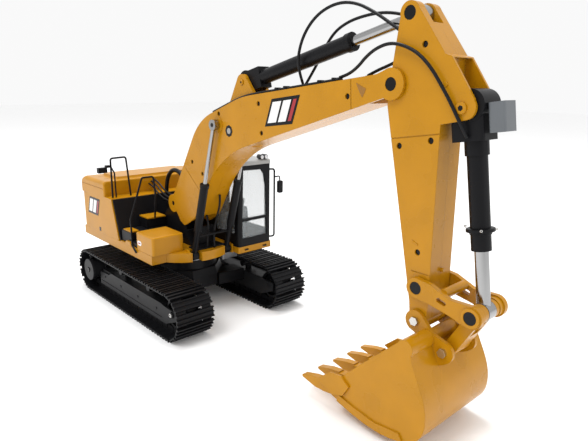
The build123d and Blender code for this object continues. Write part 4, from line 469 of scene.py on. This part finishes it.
# ---------------------------------------------------------------- boom and stick details
TOP_PIPE = [
    (104, -21, 263.4), (126, -21, 271.2), (146, -21, 278), (162, -21, 282.6), (180, -21, 286),
    (215, -21, 290.4), (255, -21, 295.5), (301, -21, 301.5),
]
CLIP_START = (216, 290.5)  # the first clip's (x, z) on the boom's top
CLIP_SLOPE = 0.128  # rise of the boom's top along x
pipe("boom_pipe", TOP_PIPE, 1.3, "hose_rubber", "boom")
pipe("boom_pipe_inner", [(x, -18.2, z) for x, _, z in TOP_PIPE], 1.0, "hose_rubber", "boom")
for number, x in enumerate((216, 229, 276, 294)):
    z = CLIP_START[1] + (x - CLIP_START[0]) * CLIP_SLOPE
    oblong(f"pipe_clip_{number}", (x - 2.4, -22.8, z - 1.8), (x + 2.4, -16.8, z + 2.4), "black_plastic",
           "boom", 0.7)

RIB_OUTLINE = [(387.5, 171.6), (393.6, 169.0), (394.2, 170.0), (388.1, 172.7)]
RECESS_OUTLINE = [(322.5, 298.6), (334, 293.8), (330, 286.5), (327.5, 289.8)]
for side, sign in (("right", -1), ("left", 1)):
    cheek = ARM_Y + sign * 12
    outward = (0, sign, 0)
    socket_screw(f"bracket_screw_{side}", 3.0, 1.4, (153.3, cheek, 297.3), outward, "yellow_paint", "boom")
    ear = ARM_Y + sign * 15.5
    socket_screw(f"ear_screw_{side}", 4.6, 1.6, (422.5, ear, 281.6), outward, "arm_plastic", "stick")
    disc(f"ear_bump_{side}", 1.9, 0.9, (407.9, ear, 298.6), outward, "arm_plastic", "stick")
    low, high = sorted((ear, ear + sign * 0.7))
    prism(f"stick_rib_{side}", RIB_OUTLINE, "y", low, high, "arm_plastic", "stick", 0.2)
    # a darker yellow plate on each side of the boom's end: painted shade where the side has a recess
    boom_side = ARM_Y + sign * 19
    low, high = sorted((boom_side - sign * 0.1, boom_side + sign * 0.35))
    prism(f"end_recess_shade_{side}", RECESS_OUTLINE, "y", low, high, "yellow_seams_and_painted_shade", "boom", 0.15)
disc("stick_nub", 1.8, 3.2, (407.2, -4.5, 147.8), (1, 0, 0.1), "arm_plastic", "stick")
oblong("boom_belly_lug", (158, -12, 227.4), (166, 2, 231.5), "arm_plastic", "boom", 0.8)

# bucket cylinder: clamp ring with screws
CURL_AXIS = (24.5, 0, -157.5)
RING_PLACE = (439.4, ARM_Y, 189.5)
RING_PROFILE = [(10.3, -1.6), (11.2, -1.2), (11.2, 1.2), (10.3, 1.6)]
turned("clamp_ring", RING_PROFILE, RING_PLACE, CURL_AXIS, "black_plastic", "curl_barrel")
for number, turn in enumerate((-150, -60, 30, 120)):
    outward = (cos(radians(turn)), sin(radians(turn)), 0.15)
    start = Vector(RING_PLACE) + Vector(outward) * 10.6
    socket_screw(f"clamp_screw_{number}", 1.1, 2.2, start, outward, "screw_steel", "curl_barrel")


# ---------------------------------------------------------------- upper structure details
# a thin black plate on the side: painted shade in place of a hole
PANEL_HOLE = [(-98.6, 88.2), (-93, 88.2), (-93, 93.6), (-98.6, 93.6)]
prism("panel_hole", PANEL_HOLE, "y", SIDE_FACE - 0.12, SIDE_FACE + 0.3, "pin_black", "upper", 0.08)
# thin black strips on the sill: painted shade in place of slots
for number, y in enumerate((42.4, 74.0)):
    slot_outline = [(y - 3.2, 77.1), (y + 3.2, 77.1), (y + 3.2, 78.9), (y - 3.2, 78.9)]
    prism(f"sill_slot_{number}", slot_outline, "x", 83.4, 83.75, "pin_black", "upper", 0.08)
oblong("deck_cover", (49, -27, 86.6), (69, 17, 88.2), "black_plastic", "upper", 0.6)
oblong("hose_plate", (48.5, -16, 88), (51, 12, 112), "black_plastic", "upper", 0.6)
disc("nose_boss", 4.6, 7, (56, -34, 82.4), (1, 0, 0), "yellow_paint", "upper")
# a thin black disc: painted shade in place of a hole in the nose
disc("nose_hole", 1.7, 0.3, (55.2, -45.5, 81.5), (1, 0, 0), "pin_black", "upper")
oblong("step_plate_front", (58.5, 19.5, 62.8), (60.3, 43.5, 71.7), "bearing_steel", "upper", 0.4)
oblong("step_plate_arm", (56.5, 24, 70.2), (59, 39, 75.6), "black_plastic", "upper", 0.4)
LENS_PROFILE = [(2.5, 0), (2.4, 0.4), (1.6, 0.8), (0.6, 0.95)]
for number, y in enumerate((68.5, 75.5)):
    turned(f"lamp_lens_{number}", LENS_PROFILE, (84.5, y, 201.3), (1, 0, 0), "lamp_lens", "upper")

# seams in the hood's roof, and a filler cap
HOOD_TOP = 162.0
for number, x in enumerate((-118, -97)):
    oblong(f"hood_seam_{number}", (x - 0.3, -70, HOOD_TOP - 0.1), (x + 0.3, 72, HOOD_TOP + 0.12),
           "yellow_seams_and_painted_shade", "upper", 0.05)
disc("filler_cap", 5.2, 2.4, (-88, 46, HOOD_TOP - 0.2), (0, 0, 1), "black_plastic", "upper")


# ---------------------------------------------------------------- track details
AXLE_X, AXLE_Z, TRACK_Y = 109.0, 30.0, 74.5
LIP_OUTER, LIP_INNER = 26.5, 26.1  # radii of the lips round a wheel
LIP_STEPS = 18
LIP_SPANS = (("outer", (11, 23.5)), ("inner", (-23.5, -11)))
for side, sign in (("right", -1), ("left", 1)):
    middle = sign * TRACK_Y
    for end, turn_from in (("front", -90), ("rear", 90)):
        # overlapping lips that close the gaps between the shoes round each wheel
        arc = [radians(turn_from + 180 * k / LIP_STEPS) for k in range(LIP_STEPS + 1)]
        centre_x = AXLE_X if end == "front" else -AXLE_X
        outer = [(centre_x + LIP_OUTER * cos(a), AXLE_Z + LIP_OUTER * sin(a)) for a in arc]
        inner = [(centre_x + LIP_INNER * cos(a), AXLE_Z + LIP_INNER * sin(a)) for a in reversed(arc)]
        for flank, (near, far) in LIP_SPANS:
            low, high = middle + near, middle + far
            prism(f"shoe_lips_{side}_{end}_{flank}", outer + inner, "y", low, high, "track_metal",
                  "undercarriage", 0)
    socket_screw(f"idler_bolt_{side}", 2.6, 1.2, (AXLE_X, sign * 91, AXLE_Z), (0, sign, 0), "screw_steel",
                 f"idler_{side}")
    socket_screw(f"sprocket_bolt_{side}", 2.8, 1.0, (-AXLE_X, sign * 97.4, AXLE_Z), (0, sign, 0), "pin_black",
                 f"sprocket_{side}")
    for number, x in enumerate((-72, -24, 24, 72)):
        disc(f"frame_bolt_{side}_{number}", 1.7, 0.8, (x, sign * 89.4, 27), (0, sign, 0), "track_metal",
             "undercarriage", sides=6)
